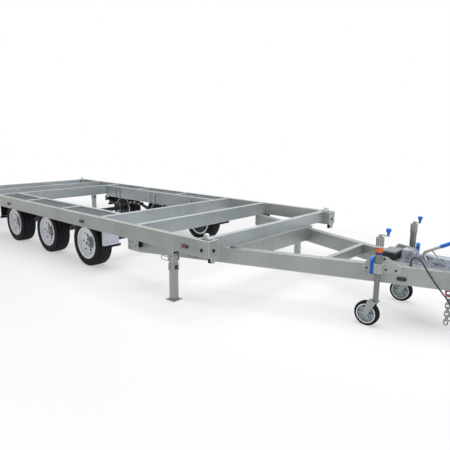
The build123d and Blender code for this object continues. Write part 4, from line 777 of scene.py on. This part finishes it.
def buildApronShadeRubber(setup):
    low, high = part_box("guard_aprons")
    lip, drop, shadeSheet = setup["lip"], setup["drop"], setup["shadeSheet"]
    half = (high.y - frameLines["apronInner"]) / 2
    shadeSheetHalves = (shadeSheet / 2, half - setup["shadeSheetMargin"], (high.z - low.z) / 2 - setup["shadeSheetMargin"])
    strips, shadeSheets = bmesh.new(), bmesh.new()
    for out in sides.values():
        y = out * (high.y - half)
        for x in (high.x - lip / 2, low.x + lip / 2):
            halves = (lip / 2, half, drop / 2)
            softBar(strips, (x, y, low.z - drop / 2), straight, halves, setup["stripRounding"])
        middle = (low.x + lip + shadeSheet / 2, y, (low.z + high.z) / 2)
        softBar(shadeSheets, middle, straight, shadeSheetHalves, setup["shadeSheetRounding"])
    meshPiece("apronStrips", strips, "rubber", "chassis")
    meshPiece("mudFlaps", shadeSheets, "rubber", "chassis")


buildApronShadeRubber(apronShadeRubber)

# Rubber grommets in the corner housings' holes, and black blocks behind their lugs and at the drawbar's
# brackets: painted shade for the shaded recesses there
housingRubber = {
    "grommet": [(0, 0), (0.0115, 0), (0.0115, 0.006), (0.0175, 0.0062), (0.0178, 0.0082), (0.0150, 0.0092),
                (0.0060, 0.0088), (0.0045, 0.0070), (0, 0.0068)],
    "segments": 24,
    "seat": 0.006,
    "holeDrop": 0.095,
    "lockInset": 0.070,
    "lugShadeHalves": (0.020, 0.029, 0.028), "lugShadeRounding": 0.003,
    "bracketShadeHalves": (0.004, 0.026, 0.036), "bracketShadeRounding": 0.002,
    "bracketShadeY": 1.170,
    "lugWall": 0.008,
}


def buildHousingRubberAndShades(setup):
    lines, lugShade, bracketShade, seat = frameLines, setup["lugShadeHalves"], setup["bracketShadeHalves"], setup["seat"]
    holeZ = lines["deck"] - setup["holeDrop"]
    bm = bmesh.new()
    for lockX, ahead in lockEnds:
        endX = lockX + ahead * lines["housingHalf"]
        for out in sides.values():
            lockY = out * (lines["halfWidth"] - setup["lockInset"])
            if ahead > 0:  # the rear face is the model's own limit, so its holes stay open
                turnForm(bm, setup["grommet"], (endX - seat, lockY, holeZ), forwards, setup["segments"])
            turnForm(bm, setup["grommet"], (lockX, out * (lines["halfWidth"] - seat), holeZ), leftwards * out,
                     setup["segments"])
            middle = (endX - ahead * (setup["lugWall"] + lugShade[0]), lockY, lines["railBottom"] - lugShade[2])
            softBar(bm, middle, straight, lugShade, setup["lugShadeRounding"])
    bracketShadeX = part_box("drawbar_end_brackets")[1].x + bracketShade[0]
    for out in sides.values():
        middle = (bracketShadeX, out * setup["bracketShadeY"], lines["railBottom"] - bracketShade[2])
        softBar(bm, middle, straight, bracketShade, setup["bracketShadeRounding"])
    meshPiece("housingRubber", bm, "rubber", "chassis")


buildHousingRubberAndShades(housingRubber)

# Dark plates behind the front and rear windows of each stand's collar, painted shade for the dark inside the
# windows, with the tube's lock pin
standWindowShade = {
    "half": 0.0218, "depth": 0.0012, "rounding": 0.0008,
    "tubeHalf": 0.0325, "collarMiddle": 0.349,
    "pin": [(0, 0), (0.007, 0), (0.007, 0.002), (0, 0.0035)], "pinSegments": 16,
}


def buildStandWindowShades(setup):
    half, depth = setup["half"], setup["depth"]
    for place in ("front", "rear"):
        for side in sides:
            centre = boxCentre(f"stand_leg_{place}_{side}")
            centre.z = setup["collarMiddle"]
            bm = bmesh.new()
            for out in (Vector((-1, 0, 0)), forwards):
                middle = centre + out * (setup["tubeHalf"] + depth)
                directions = (out, upright.cross(out), upright)
                softBar(bm, middle, directions, (depth, half, half), setup["rounding"])
                turnForm(bm, setup["pin"], middle + out * depth, out, setup["pinSegments"])
            meshPiece(f"standSocket_{place}_{side}", bm, "black_plastic", f"stand_{place}_{side}")


buildStandWindowShades(standWindowShade)

# Ribs round the battery box
boxRib = {"pitch": 0.022, "halfWidth": 0.0035, "proud": 0.0025, "inset": 0.016, "margin": 0.006,
          "rounding": 0.0015}


def buildBoxRibs(setup):
    low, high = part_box("battery_box")
    bm = bmesh.new()
    for axis in (0, 1):
        length = high[axis] - low[axis] - 2 * setup["inset"]
        count = int(length / setup["pitch"]) + 1
        halves = [setup["proud"], setup["proud"], (high.z - low.z) / 2 - setup["margin"]]
        halves[axis] = setup["halfWidth"]
        for order in range(count):
            for face in (low, high):
                middle = [face.x, face.y, (low.z + high.z) / 2]
                middle[axis] = low[axis] + setup["inset"] + length * order / (count - 1)
                softBar(bm, middle, straight, halves, setup["rounding"])
    meshPiece("boxRibs", bm, "black_plastic", "chassis")


buildBoxRibs(boxRib)
print("strips, sockets and ribs made")


def geometryTree(name, inputs):
    tree = bpy.data.node_groups.new(name, "GeometryNodeTree")
    tree.interface.new_socket("Geometry", in_out="INPUT", socket_type="NodeSocketGeometry")
    names = {}
    for label, kind in inputs.items():
        socket = tree.interface.new_socket(label, in_out="INPUT", socket_type="NodeSocket" + kind)
        names[label] = socket.identifier
    tree.interface.new_socket("Geometry", in_out="OUTPUT", socket_type="NodeSocketGeometry")
    return tree, addNode(tree, "NodeGroupInput").outputs, names


def endTree(tree, geometry, finish):
    dressed = addNode(tree, "GeometryNodeSetMaterial", {"Geometry": geometry, "Material": finish})
    addNode(tree, "NodeGroupOutput", {"Geometry": dressed})


def plainMesh(piece):
    bpy.context.view_layer.update()
    return bpy.data.meshes.new_from_object(piece.evaluated_get(bpy.context.evaluated_depsgraph_get()))


# Runs a tree on a mesh, with the values that it names, and keeps the result as a plain mesh on one body
def realisePiece(mesh, tree, names, values, slot, body, *replaced):
    piece = newObject(mesh.name, mesh)
    modifier = piece.modifiers.new(tree.name, "NODES")
    modifier.node_group = tree
    for label, identifier in names.items():
        modifier[identifier] = values[label]
    result = plainMesh(piece)
    piece.modifiers.remove(modifier)
    piece.data = result
    result.name = piece.name
    finishPiece(piece, body, slot, *replaced)


def pointMesh(name, points, edges=()):
    mesh = bpy.data.meshes.new(name)
    mesh.from_pydata([tuple(point) for point in points], list(edges), [])
    return mesh


# Puts one fastener on every point, turned by the point's own attribute
def fastenerTree():
    tree, given, names = geometryTree("fastenerSetter", {
        "fastener": "Object", "scale": "Float", "finish": "Material"})
    shape = addNode(tree, "GeometryNodeObjectInfo", {"Object": given["fastener"]}).outputs["Geometry"]
    turn = addNode(tree, "GeometryNodeInputNamedAttribute", {"Name": "turn"}, data_type="FLOAT_VECTOR")
    rotation = addNode(tree, "FunctionNodeEulerToRotation", {"Euler": turn})
    placed = addNode(tree, "GeometryNodeInstanceOnPoints", {
        "Points": given["Geometry"], "Instance": shape, "Rotation": rotation, "Scale": given["scale"]})
    endTree(tree, addNode(tree, "GeometryNodeRealizeInstances", {"Geometry": placed}), given["finish"])
    return tree, names


# A nut on its washer, for a 12 mm thread: segments, and rows of radius and height
hexNut = {
    "washer": (16, [(0, 0), (0.0122, 0), (0.0126, 0.0005), (0.0122, 0.0020), (0, 0.0020)]),
    "nut": (6, [(0, 0.0020), (0.0104, 0.0020), (0.0108, 0.0030), (0.0108, 0.0090), (0.0094, 0.0104),
                (0, 0.0104)]),
    "thread": (10, [(0, 0.0104), (0.0058, 0.0104), (0.0058, 0.0138), (0.0048, 0.0148), (0, 0.0148)]),
}


def nutShape(setup):
    bm = bmesh.new()
    for segments, profile in setup.values():
        turnForm(bm, profile, (0, 0, 0), upright, segments)
    return newObject("nutShape", meshFrom("nutShape", bm, finishes["zinc"], smooth=30.0))


nutsTree, nutsNames = fastenerTree()
nut = nutShape(hexNut)


def setNuts(name, places, scale, body="chassis", slot="zinc", material=None):
    points, outs = zip(*places)
    mesh = pointMesh(name, points)
    turns = mesh.attributes.new("turn", "FLOAT_VECTOR", "POINT")
    for entry, out in zip(turns.data, outs):
        entry.vector = Vector(out).to_track_quat("Z", "Y").to_euler()
    values = {"fastener": nut, "scale": scale, "finish": material or finishes[slot]}
    realisePiece(mesh, nutsTree, nutsNames, values, slot, body)


# Where nuts and bolts sit, in metres
fastenerPlaces = {
    "wheelNuts": 5,
    "wheelNutCircle": 0.0635, "wheelNutStart": 0.25,
    "discFace": 0.0335,
    "eyeReach": 0.380,
    "eyeTop": 0.022,
    "cheekOut": 0.0385,
    "pivotRise": 0.014,
    "rodX": 0.050,
    "rodY": 0.0355,
    "flangeX": (0.145, 0.280, 0.430),
    "flangeY": 0.066,
    "flangeTop": 0.014,
    "gussetGap": 0.1365,
    "gussetFace": 0.006,
    "gussetBolts": ((-0.105, -0.038), (-0.055, -0.038), (0.060, -0.038), (0.145, -0.038), (-0.042, 0.058),
                    (0.042, 0.058)),
    "bracketBolts": ((-0.062, 0.030), (-0.062, -0.030), (-0.012, 0.030)),
    "guardInset": (0.070, 0.045),
    "standPivot": 0.465,
    "standCheek": 0.006,
}


def wheelNutPlaces(setup, row, side, out):
    face = boxCentre(f"rim_{row}_{side}") + leftwards * out * setup["discFace"]
    for place in roundAxle(face, setup["wheelNuts"], setup["wheelNutCircle"], setup["wheelNutStart"]):
        yield place, (0, out, 0)


def springNutPlaces(setup):
    axleX = [boxCentre(f"tyre_{row}_left").x for row in wheelRows]
    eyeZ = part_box("leaf_springs")[1].z - setup["eyeTop"]
    bolts = [(x + turn * setup["eyeReach"], eyeZ) for x in axleX for turn in (-1, 1)]
    bolts += [((a + b) / 2, eyeZ + setup["pivotRise"]) for a, b in zip(axleX, axleX[1:])]
    for out in sides.values():
        for x, z in bolts:
            for face in (-1, 1):
                yield (x, out * frameLines["innerRailY"] + face * setup["cheekOut"], z), (0, face, 0)


def clampNutPlaces(setup):
    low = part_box("spring_clamps")[0].z
    for row in wheelRows:
        axle = boxCentre(f"tyre_{row}_left").x
        for out in sides.values():
            for dx in (-1, 1):
                for dy in (-1, 1):
                    y = out * frameLines["innerRailY"] + dy * setup["rodY"]
                    yield (axle + dx * setup["rodX"], y, low), (0, 0, -1)


def flangeNutPlaces(setup):
    rear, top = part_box("coupling_body")[0].x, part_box("nose_plate")[1].z + setup["flangeTop"]
    for ahead in setup["flangeX"]:
        for out in sides.values():
            yield (rear + ahead, out * setup["flangeY"], top), upright


def gussetNutPlaces(setup):
    for side, out in sides.items():
        run, normal = beamDirections(out)
        foot = boxCentre(f"jockey_leg_{side}")
        foot.z = frameLines["railBottom"]
        foot += normal * (setup["gussetFace"] - setup["gussetGap"] * abs(normal.y))
        for along, up in setup["gussetBolts"]:
            yield foot + run * along + upright * up, normal


def bracketNutPlaces(setup):
    centre = boxCentre("drawbar_end_brackets")
    for out in sides.values():
        for along, up in setup["bracketBolts"]:
            yield (centre.x + along, out * frameLines["halfWidth"], centre.z + up), (0, out, 0)


def standPinPlaces(setup):
    for place in ("front", "rear"):
        for side, out in sides.items():
            face = out * (frameLines["halfWidth"] + setup["standCheek"])
            yield (boxCentre(f"stand_leg_{place}_{side}").x, face, setup["standPivot"]), (0, out, 0)


def guardScrewPlaces(setup):
    low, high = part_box("wheel_guards")
    insetX, insetY = setup["guardInset"]
    edges = [high.x]
    for middle in frameLines["outriggerX"]:
        edges += [middle + frameLines["outriggerHalf"], middle - frameLines["outriggerHalf"]]
    edges.append(low.x)
    inner = frameLines["innerRailY"] + frameLines["memberHalf"]
    for front, rear in zip(edges[0::2], edges[1::2]):
        for out in sides.values():
            for x in (front - insetX, (front + rear) / 2, rear + insetX):
                for y in (inner + insetY, frameLines["railInner"] - insetY):
                    yield (x, out * y, high.z), upright


# Each set's scale makes its thread from the nut's 12 mm
def buildFasteners(setup):
    for row, side, out in wheels:
        setNuts(f"wheelNuts_{row}_{side}", wheelNutPlaces(setup, row, side, out), 1.05, f"wheel_{row}_{side}")
    setNuts("springNuts", springNutPlaces(setup), 1.6)
    setNuts("clampNuts", clampNutPlaces(setup), 1.0)
    setNuts("noseBolts", [*flangeNutPlaces(setup), *bracketNutPlaces(setup)], 0.95)
    setNuts("gussetBolts", gussetNutPlaces(setup), 0.85, slot="black_paint")
    setNuts("standPins", standPinPlaces(setup), 0.98)
    setNuts("guardScrews", guardScrewPlaces(setup), 0.62, slot="galvanised", material=shadeDarkGuardPlate)


buildFasteners(fastenerPlaces)
bpy.data.objects.remove(nut)
print("fasteners set")

# Safety chain: links of round wire, every second one turned a quarter
safetyChain = {"wire": 0.012, "width": 0.044, "pitch": 0.0377, "count": 7, "finish": finishes["zinc"],
               "x": 3.7085, "y": 0.058, "firstZ": 0.2993}


def chainTree():
    tree, given, names = geometryTree("chainMaker", {
        "pitch": "Float", "wire": "Float", "width": "Float", "count": "Int", "finish": "Material"})
    wireRadius = addNode(tree, "Math", {0: given["wire"], 1: 0.5}, operation="MULTIPLY")
    high = addNode(tree, "Math", {0: given["pitch"], 1: given["wire"]}, operation="ADD")
    wide = addNode(tree, "Math", {0: given["width"], 1: given["wire"]}, operation="SUBTRACT")
    bend = addNode(tree, "Math", {0: wide, 1: 0.497}, operation="MULTIPLY")  # just under half, to fit
    outline = addNode(tree, "GeometryNodeCurvePrimitiveQuadrilateral", {"Width": wide, "Height": high})
    rounded = addNode(tree, "GeometryNodeFilletCurve", {"Curve": outline, "Count": 7, "Radius": bend},
                      mode="POLY")
    section = addNode(tree, "GeometryNodeCurvePrimitiveCircle", {"Resolution": 10, "Radius": wireRadius})
    link = addNode(tree, "GeometryNodeCurveToMesh", {"Curve": rounded, "Profile Curve": section})
    odd = addNode(tree, "Math", {0: addNode(tree, "GeometryNodeInputIndex"), 1: 2.0}, operation="MODULO")
    quarter = addNode(tree, "Math", {0: odd, 1: math.pi / 2}, operation="MULTIPLY")
    spin = addNode(tree, "CombineXYZ", {"X": math.pi / 2, "Z": quarter})
    down = addNode(tree, "Math", {0: given["pitch"], 1: -1.0}, operation="MULTIPLY")
    step = addNode(tree, "CombineXYZ", {"Z": down})
    line = addNode(tree, "GeometryNodeMeshLine", {"Count": given["count"], "Offset": step})
    facing = addNode(tree, "FunctionNodeEulerToRotation", {"Euler": spin})
    hung = addNode(tree, "GeometryNodeInstanceOnPoints", {
        "Points": line, "Instance": link, "Rotation": facing})
    rows = addNode(tree, "GeometryNodeInstanceOnPoints", {"Points": given["Geometry"], "Instance": hung})
    real = addNode(tree, "GeometryNodeRealizeInstances", {"Geometry": rows})
    endTree(tree, addNode(tree, "GeometryNodeSetShadeSmooth", {"Geometry": real}), given["finish"])
    return tree, names


def buildChains(setup):
    tops = [(setup["x"], out * setup["y"], setup["firstZ"]) for out in sides.values()]
    realisePiece(pointMesh("safetyChains", tops), *chainTree(), setup, "zinc", "chassis", "safety_chains")


buildChains(safetyChain)
print("safety chains hung")

# Weld beads: a rippled bead of zinc-coated weld along each seam
weldBead = {"radius": 0.0036, "ripple": 0.45, "step": 0.0045, "sides": 6, "seed": 4,
            "finish": finishes["galvanised"], "beamRise": 0.02, "standHalf": 0.04, "standRise": 0.055}


def weldTree():
    tree, given, names = geometryTree("weldRunner", {
        "radius": "Float", "ripple": "Float", "step": "Float", "sides": "Int", "seed": "Int",
        "finish": "Material"})
    seam = addNode(tree, "GeometryNodeMeshToCurve", {"Mesh": given["Geometry"]})
    fine = addNode(tree, "GeometryNodeResampleCurve", {"Curve": seam, "Length": given["step"]}, mode="LENGTH")
    least = addNode(tree, "Math", {0: 1.0, 1: given["ripple"]}, operation="SUBTRACT")
    chance = addNode(tree, "FunctionNodeRandomValue", {2: least, 3: 1.0, "Seed": given["seed"]},
                     data_type="FLOAT")
    section = addNode(tree, "GeometryNodeCurvePrimitiveCircle", {
        "Resolution": given["sides"], "Radius": given["radius"]})
    rippled = addNode(tree, "GeometryNodeSetCurveRadius", {"Curve": fine, "Radius": chance.outputs[1]})
    bead = addNode(tree, "GeometryNodeCurveToMesh", {
        "Curve": rippled, "Profile Curve": section, "Fill Caps": True})
    endTree(tree, addNode(tree, "GeometryNodeSetShadeSmooth", {"Geometry": bead}), given["finish"])
    return tree, names


def weldSeams(setup):
    lines = frameLines
    deck, bottom, width, member = lines["deck"], lines["railBottom"], lines["halfWidth"], lines["memberHalf"]
    crosses = [(lines["frontLockX"] - back, member) for back in lines["crossBacks"]]
    outriggers = [(x, lines["outriggerHalf"]) for x in lines["outriggerX"]]

    def rise(x, y, low=bottom, high=deck):
        return (x, y, low), (x, y, high)

    for out in sides.values():
        rail, face = out * lines["railInner"], out * width
        for x, half in crosses + outriggers:
            yield rise(x - half, rail)
            yield rise(x + half, rail)
            yield (x - half, rail, deck), (x + half, rail, deck)
        for x, half in outriggers:
            for edge in (-half, half):
                yield rise(x + edge, out * (lines["innerRailY"] + member))
        for x in (crosses[1][0] - member, crosses[2][0] + member):
            for edge in (-member, member):
                yield rise(x, out * lines["innerRailY"] + edge)
        for lockX, ahead in lockEnds:
            x = lockX - ahead * lines["housingHalf"]
            yield rise(x, face)
            yield (x, face, deck), (x, rail, deck)
        front, foot = lines["frontLockX"] + lines["lowerBeamAhead"], lines["drawbarBottom"]
        yield rise(front, out * (beamY(front) - lines["beamSkew"]), foot + setup["beamRise"], bottom)
        start, end = lines["plateRearX"], lines["noseFrontX"]
        yield (start, out * beamY(start), bottom), (end, out * beamY(end), bottom)
        beam = lines["beamFrontX"]
        yield rise(beam, out * beamY(beam), foot, bottom)
        low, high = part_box("drawbar_end_brackets")
        yield (low.x, face, bottom), (high.x, face, bottom)
        half, top = setup["standHalf"], bottom + setup["standRise"]
        for place in ("front", "rear"):
            x = boxCentre(f"stand_leg_{place}_left").x
            yield (x - half, face, top), (x + half, face, top)
            yield rise(x - half, face, bottom, top)
            yield rise(x + half, face, bottom, top)


def buildWelds(setup):
    points = [point for seam in weldSeams(setup) for point in seam]
    mesh = pointMesh("weldBeads", points, [(order, order + 1) for order in range(0, len(points), 2)])
    realisePiece(mesh, *weldTree(), setup, "galvanised", "chassis")


buildWelds(weldBead)
print("weld beads run")

# Tow lead: its route in millimetres, as reach ahead of the front lock line, side and height above the nose
# plate; the rest in metres
towLead = {
    "route": [
        (1556, -160, 10), (1556, -160, 52), (1583, -169, 84), (1627, -182, 84), (1668, -193, 50),
        (1700, -200, 6), (1752, -207, -60), (1825, -212, -142), (1900, -213, -221), (1950, -208, -300),
        (1992, -200, -375), (2028, -188, -443), (2066, -175, -495), (2104, -167, -521),
    ],
    "diameter": 0.013,
    "turns": 2.55,
    "pointsPerTurn": 16,
    "coilMargin": 0.014,
    "coilStart": -88.0,
    "coilRise": 0.024, "coilRises": 1.25,
    "wander": 0.005, "wanders": 2.3,
}


def coilPoints(setup):
    low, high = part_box("lead_coil")
    centre = boxCentre("lead_coil")
    radius = (high[0] - low[0]) / 2 - setup["coilMargin"]
    count = round(setup["turns"] * setup["pointsPerTurn"])
    for step in range(1, count + 1):
        share = step / count
        angle = math.radians(setup["coilStart"]) + 2 * math.pi * setup["turns"] * share
        reach = radius + setup["wander"] * math.sin(setup["wanders"] * angle)
        rise = setup["coilRise"] * abs(math.sin(math.pi * setup["coilRises"] * (1 - share)))
        height = low[2] + setup["diameter"] / 2 + rise
        yield Vector((centre.x + reach * math.cos(angle), centre.y + reach * math.sin(angle), height))


def buildTowLead(setup):
    lockX, plateTop = frameLines["frontLockX"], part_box("nose_plate")[1][2]
    points = [Vector((lockX + x * millimetre, y * millimetre, plateTop + z * millimetre))
              for x, y, z in setup["route"]]
    points += coilPoints(setup)
    curve = bpy.data.curves.new("towLead", "CURVE")
    curve.dimensions = "3D"
    spline = curve.splines.new("NURBS")
    spline.points.add(len(points) - 1)
    for place, point in zip(spline.points, points):
        place.co = (*point, 1.0)
    spline.order_u = 3
    spline.use_endpoint_u = True
    spline.resolution_u = 6
    curve.bevel_depth = setup["diameter"] / 2
    curve.bevel_resolution = 4
    curve.use_fill_caps = True
    curve.materials.append(finishes["cable"])
    lead = newObject("towLead", curve)
    finishPiece(lead, "chassis", "cable", "tow_lead", "lead_coil")
    return lead, points


towLeadPiece, towLeadPoints = buildTowLead(towLead)


def splineLength(piece):
    bare = piece.data.copy()
    bare.bevel_depth = 0.0
    sample = newObject("sample", bare)
    mesh = plainMesh(sample)
    ends = [[mesh.vertices[end].co for end in edge.vertices] for edge in mesh.edges]
    length = sum((a - b).length for a, b in ends)
    bpy.data.objects.remove(sample)
    bpy.data.meshes.remove(mesh)
    return length


# Ties round the coil's turns: half width, low and high edge and corner of each loop, and where they sit
coilTie = {"reach": 0.066, "half": 0.0152, "low": 0.0022, "high": 0.0402, "corner": 0.006, "wire": 0.0020,
           "segments": 8, "turns": (35.0, 150.0, 270.0)}


def buildCoilTies(setup):
    centre = boxCentre("lead_coil")
    centre.z = 0
    half, low, high, corner = setup["half"], setup["low"], setup["high"], setup["corner"]
    outline = [(-half, low + corner), (-half + corner, low), (half - corner, low), (half, low + corner),
               (half, high - corner), (half - corner, high), (-half + corner, high), (-half, high - corner)]
    bm = bmesh.new()
    for turn in map(math.radians, setup["turns"]):
        out = Vector((math.cos(turn), math.sin(turn), 0))
        points = [centre + out * (setup["reach"] + across) + upright * rise for across, rise in outline]
        wireLoop(bm, points, setup["wire"], setup["segments"])
    return meshPiece("coilTies", bm, "cable", "chassis")


coilTies = buildCoilTies(coilTie)
leadLength = splineLength(towLeadPiece)
print("tow lead", round(leadLength, 3), "m")
tuple(towLeadPoints[0])

# Plain pale floor that fades to white, and soft light from overhead with a little from the front
stageSetup = {
    "floorHalf": 30.0,
    "floorColour": "#DCDCDC", "floorRoughness": 0.9, "floorSpecular": 0.1,
    "floorWhite": 0.45,
    "fadeStart": 4.3,
    "fadeEnd": 7.2,
    "fadeShape": (1.0, 1.9, 1.0),
    "skyLight": 0.40,
    "lights": {
        "overheadBox": {"place": (1.8, 0.0, 6.5), "target": (1.8, 0.0, 0.0), "size": 7.0, "power": 560.0},
        "frontBox": {"place": (9.0, -1.5, 3.5), "target": (0.5, 0.0, 0.5), "size": 3.0, "power": 120.0},
    },
}


# Rays that show the backdrop itself: straight from the camera, or by way of metal or glass
def seenRays(tree):
    path = addNode(tree, "LightPath").outputs
    direct = addNode(tree, "Math", {0: path["Is Camera Ray"], 1: path["Is Glossy Ray"]}, operation="MAXIMUM")
    return addNode(tree, "Math", {0: direct, 1: path["Is Transmission Ray"]}, operation="MAXIMUM")


def buildFloor(setup):
    material, tree, shader, place = startMaterial("studioFloor")
    shaped = addNode(tree, "VectorMath", {0: place, 1: setup["fadeShape"]}, operation="MULTIPLY")
    reach = addNode(tree, "VectorMath", {0: shaped}, operation="LENGTH").outputs["Value"]
    fade = addNode(tree, "MapRange", {
        0: reach, 1: setup["fadeStart"], 2: setup["fadeEnd"], 3: setup["floorWhite"]})
    share = addNode(tree, "Math", {0: fade, 1: seenRays(tree)}, operation="MULTIPLY")
    shader.inputs["Base Color"].default_value = toLinear(setup["floorColour"])
    shader.inputs["Roughness"].default_value = setup["floorRoughness"]
    shader.inputs["Specular IOR Level"].default_value = setup["floorSpecular"]
    white = addNode(tree, "Emission", {"Strength": 1.0})
    blend = addNode(tree, "MixShader", {0: share, 1: shader, 2: white})
    below = addNode(tree, "NewGeometry").outputs["Backfacing"]  # seen from below, the floor is clear
    clear = addNode(tree, "BsdfTransparent")
    shown = addNode(tree, "MixShader", {0: below, 1: blend, 2: clear})
    tree.links.new(shown.outputs[0], tree.nodes["Material Output"].inputs["Surface"])
    bm = bmesh.new()
    bmesh.ops.create_grid(bm, x_segments=1, y_segments=1, size=setup["floorHalf"])
    mesh = bpy.data.meshes.new("studioFloor")
    bm.to_mesh(mesh)
    bm.free()
    mesh.materials.append(material)
    newObject("studioFloor", mesh)


def buildLight(setup):
    world = bpy.data.worlds.new("studioLight")
    world.use_nodes = True
    tree = world.node_tree
    scene.world = world
    background = tree.nodes["Background"]
    background.inputs["Color"].default_value = (1.0, 1.0, 1.0, 1.0)
    strength = addNode(tree, "MapRange", {0: seenRays(tree), 3: setup["skyLight"]})
    tree.links.new(strength.outputs[0], background.inputs["Strength"])
    for name, row in setup["lights"].items():
        data = bpy.data.lights.new(name, "AREA")
        data.size = row["size"]
        data.energy = row["power"]
        light = newObject(name, data)
        light.location = row["place"]
        beam = Vector(row["target"]) - Vector(row["place"])
        light.rotation_euler = beam.to_track_quat("-Z", "Y").to_euler()
    scene.view_settings.view_transform = "Standard"


buildFloor(stageSetup)
buildLight(stageSetup)
print("stage set")
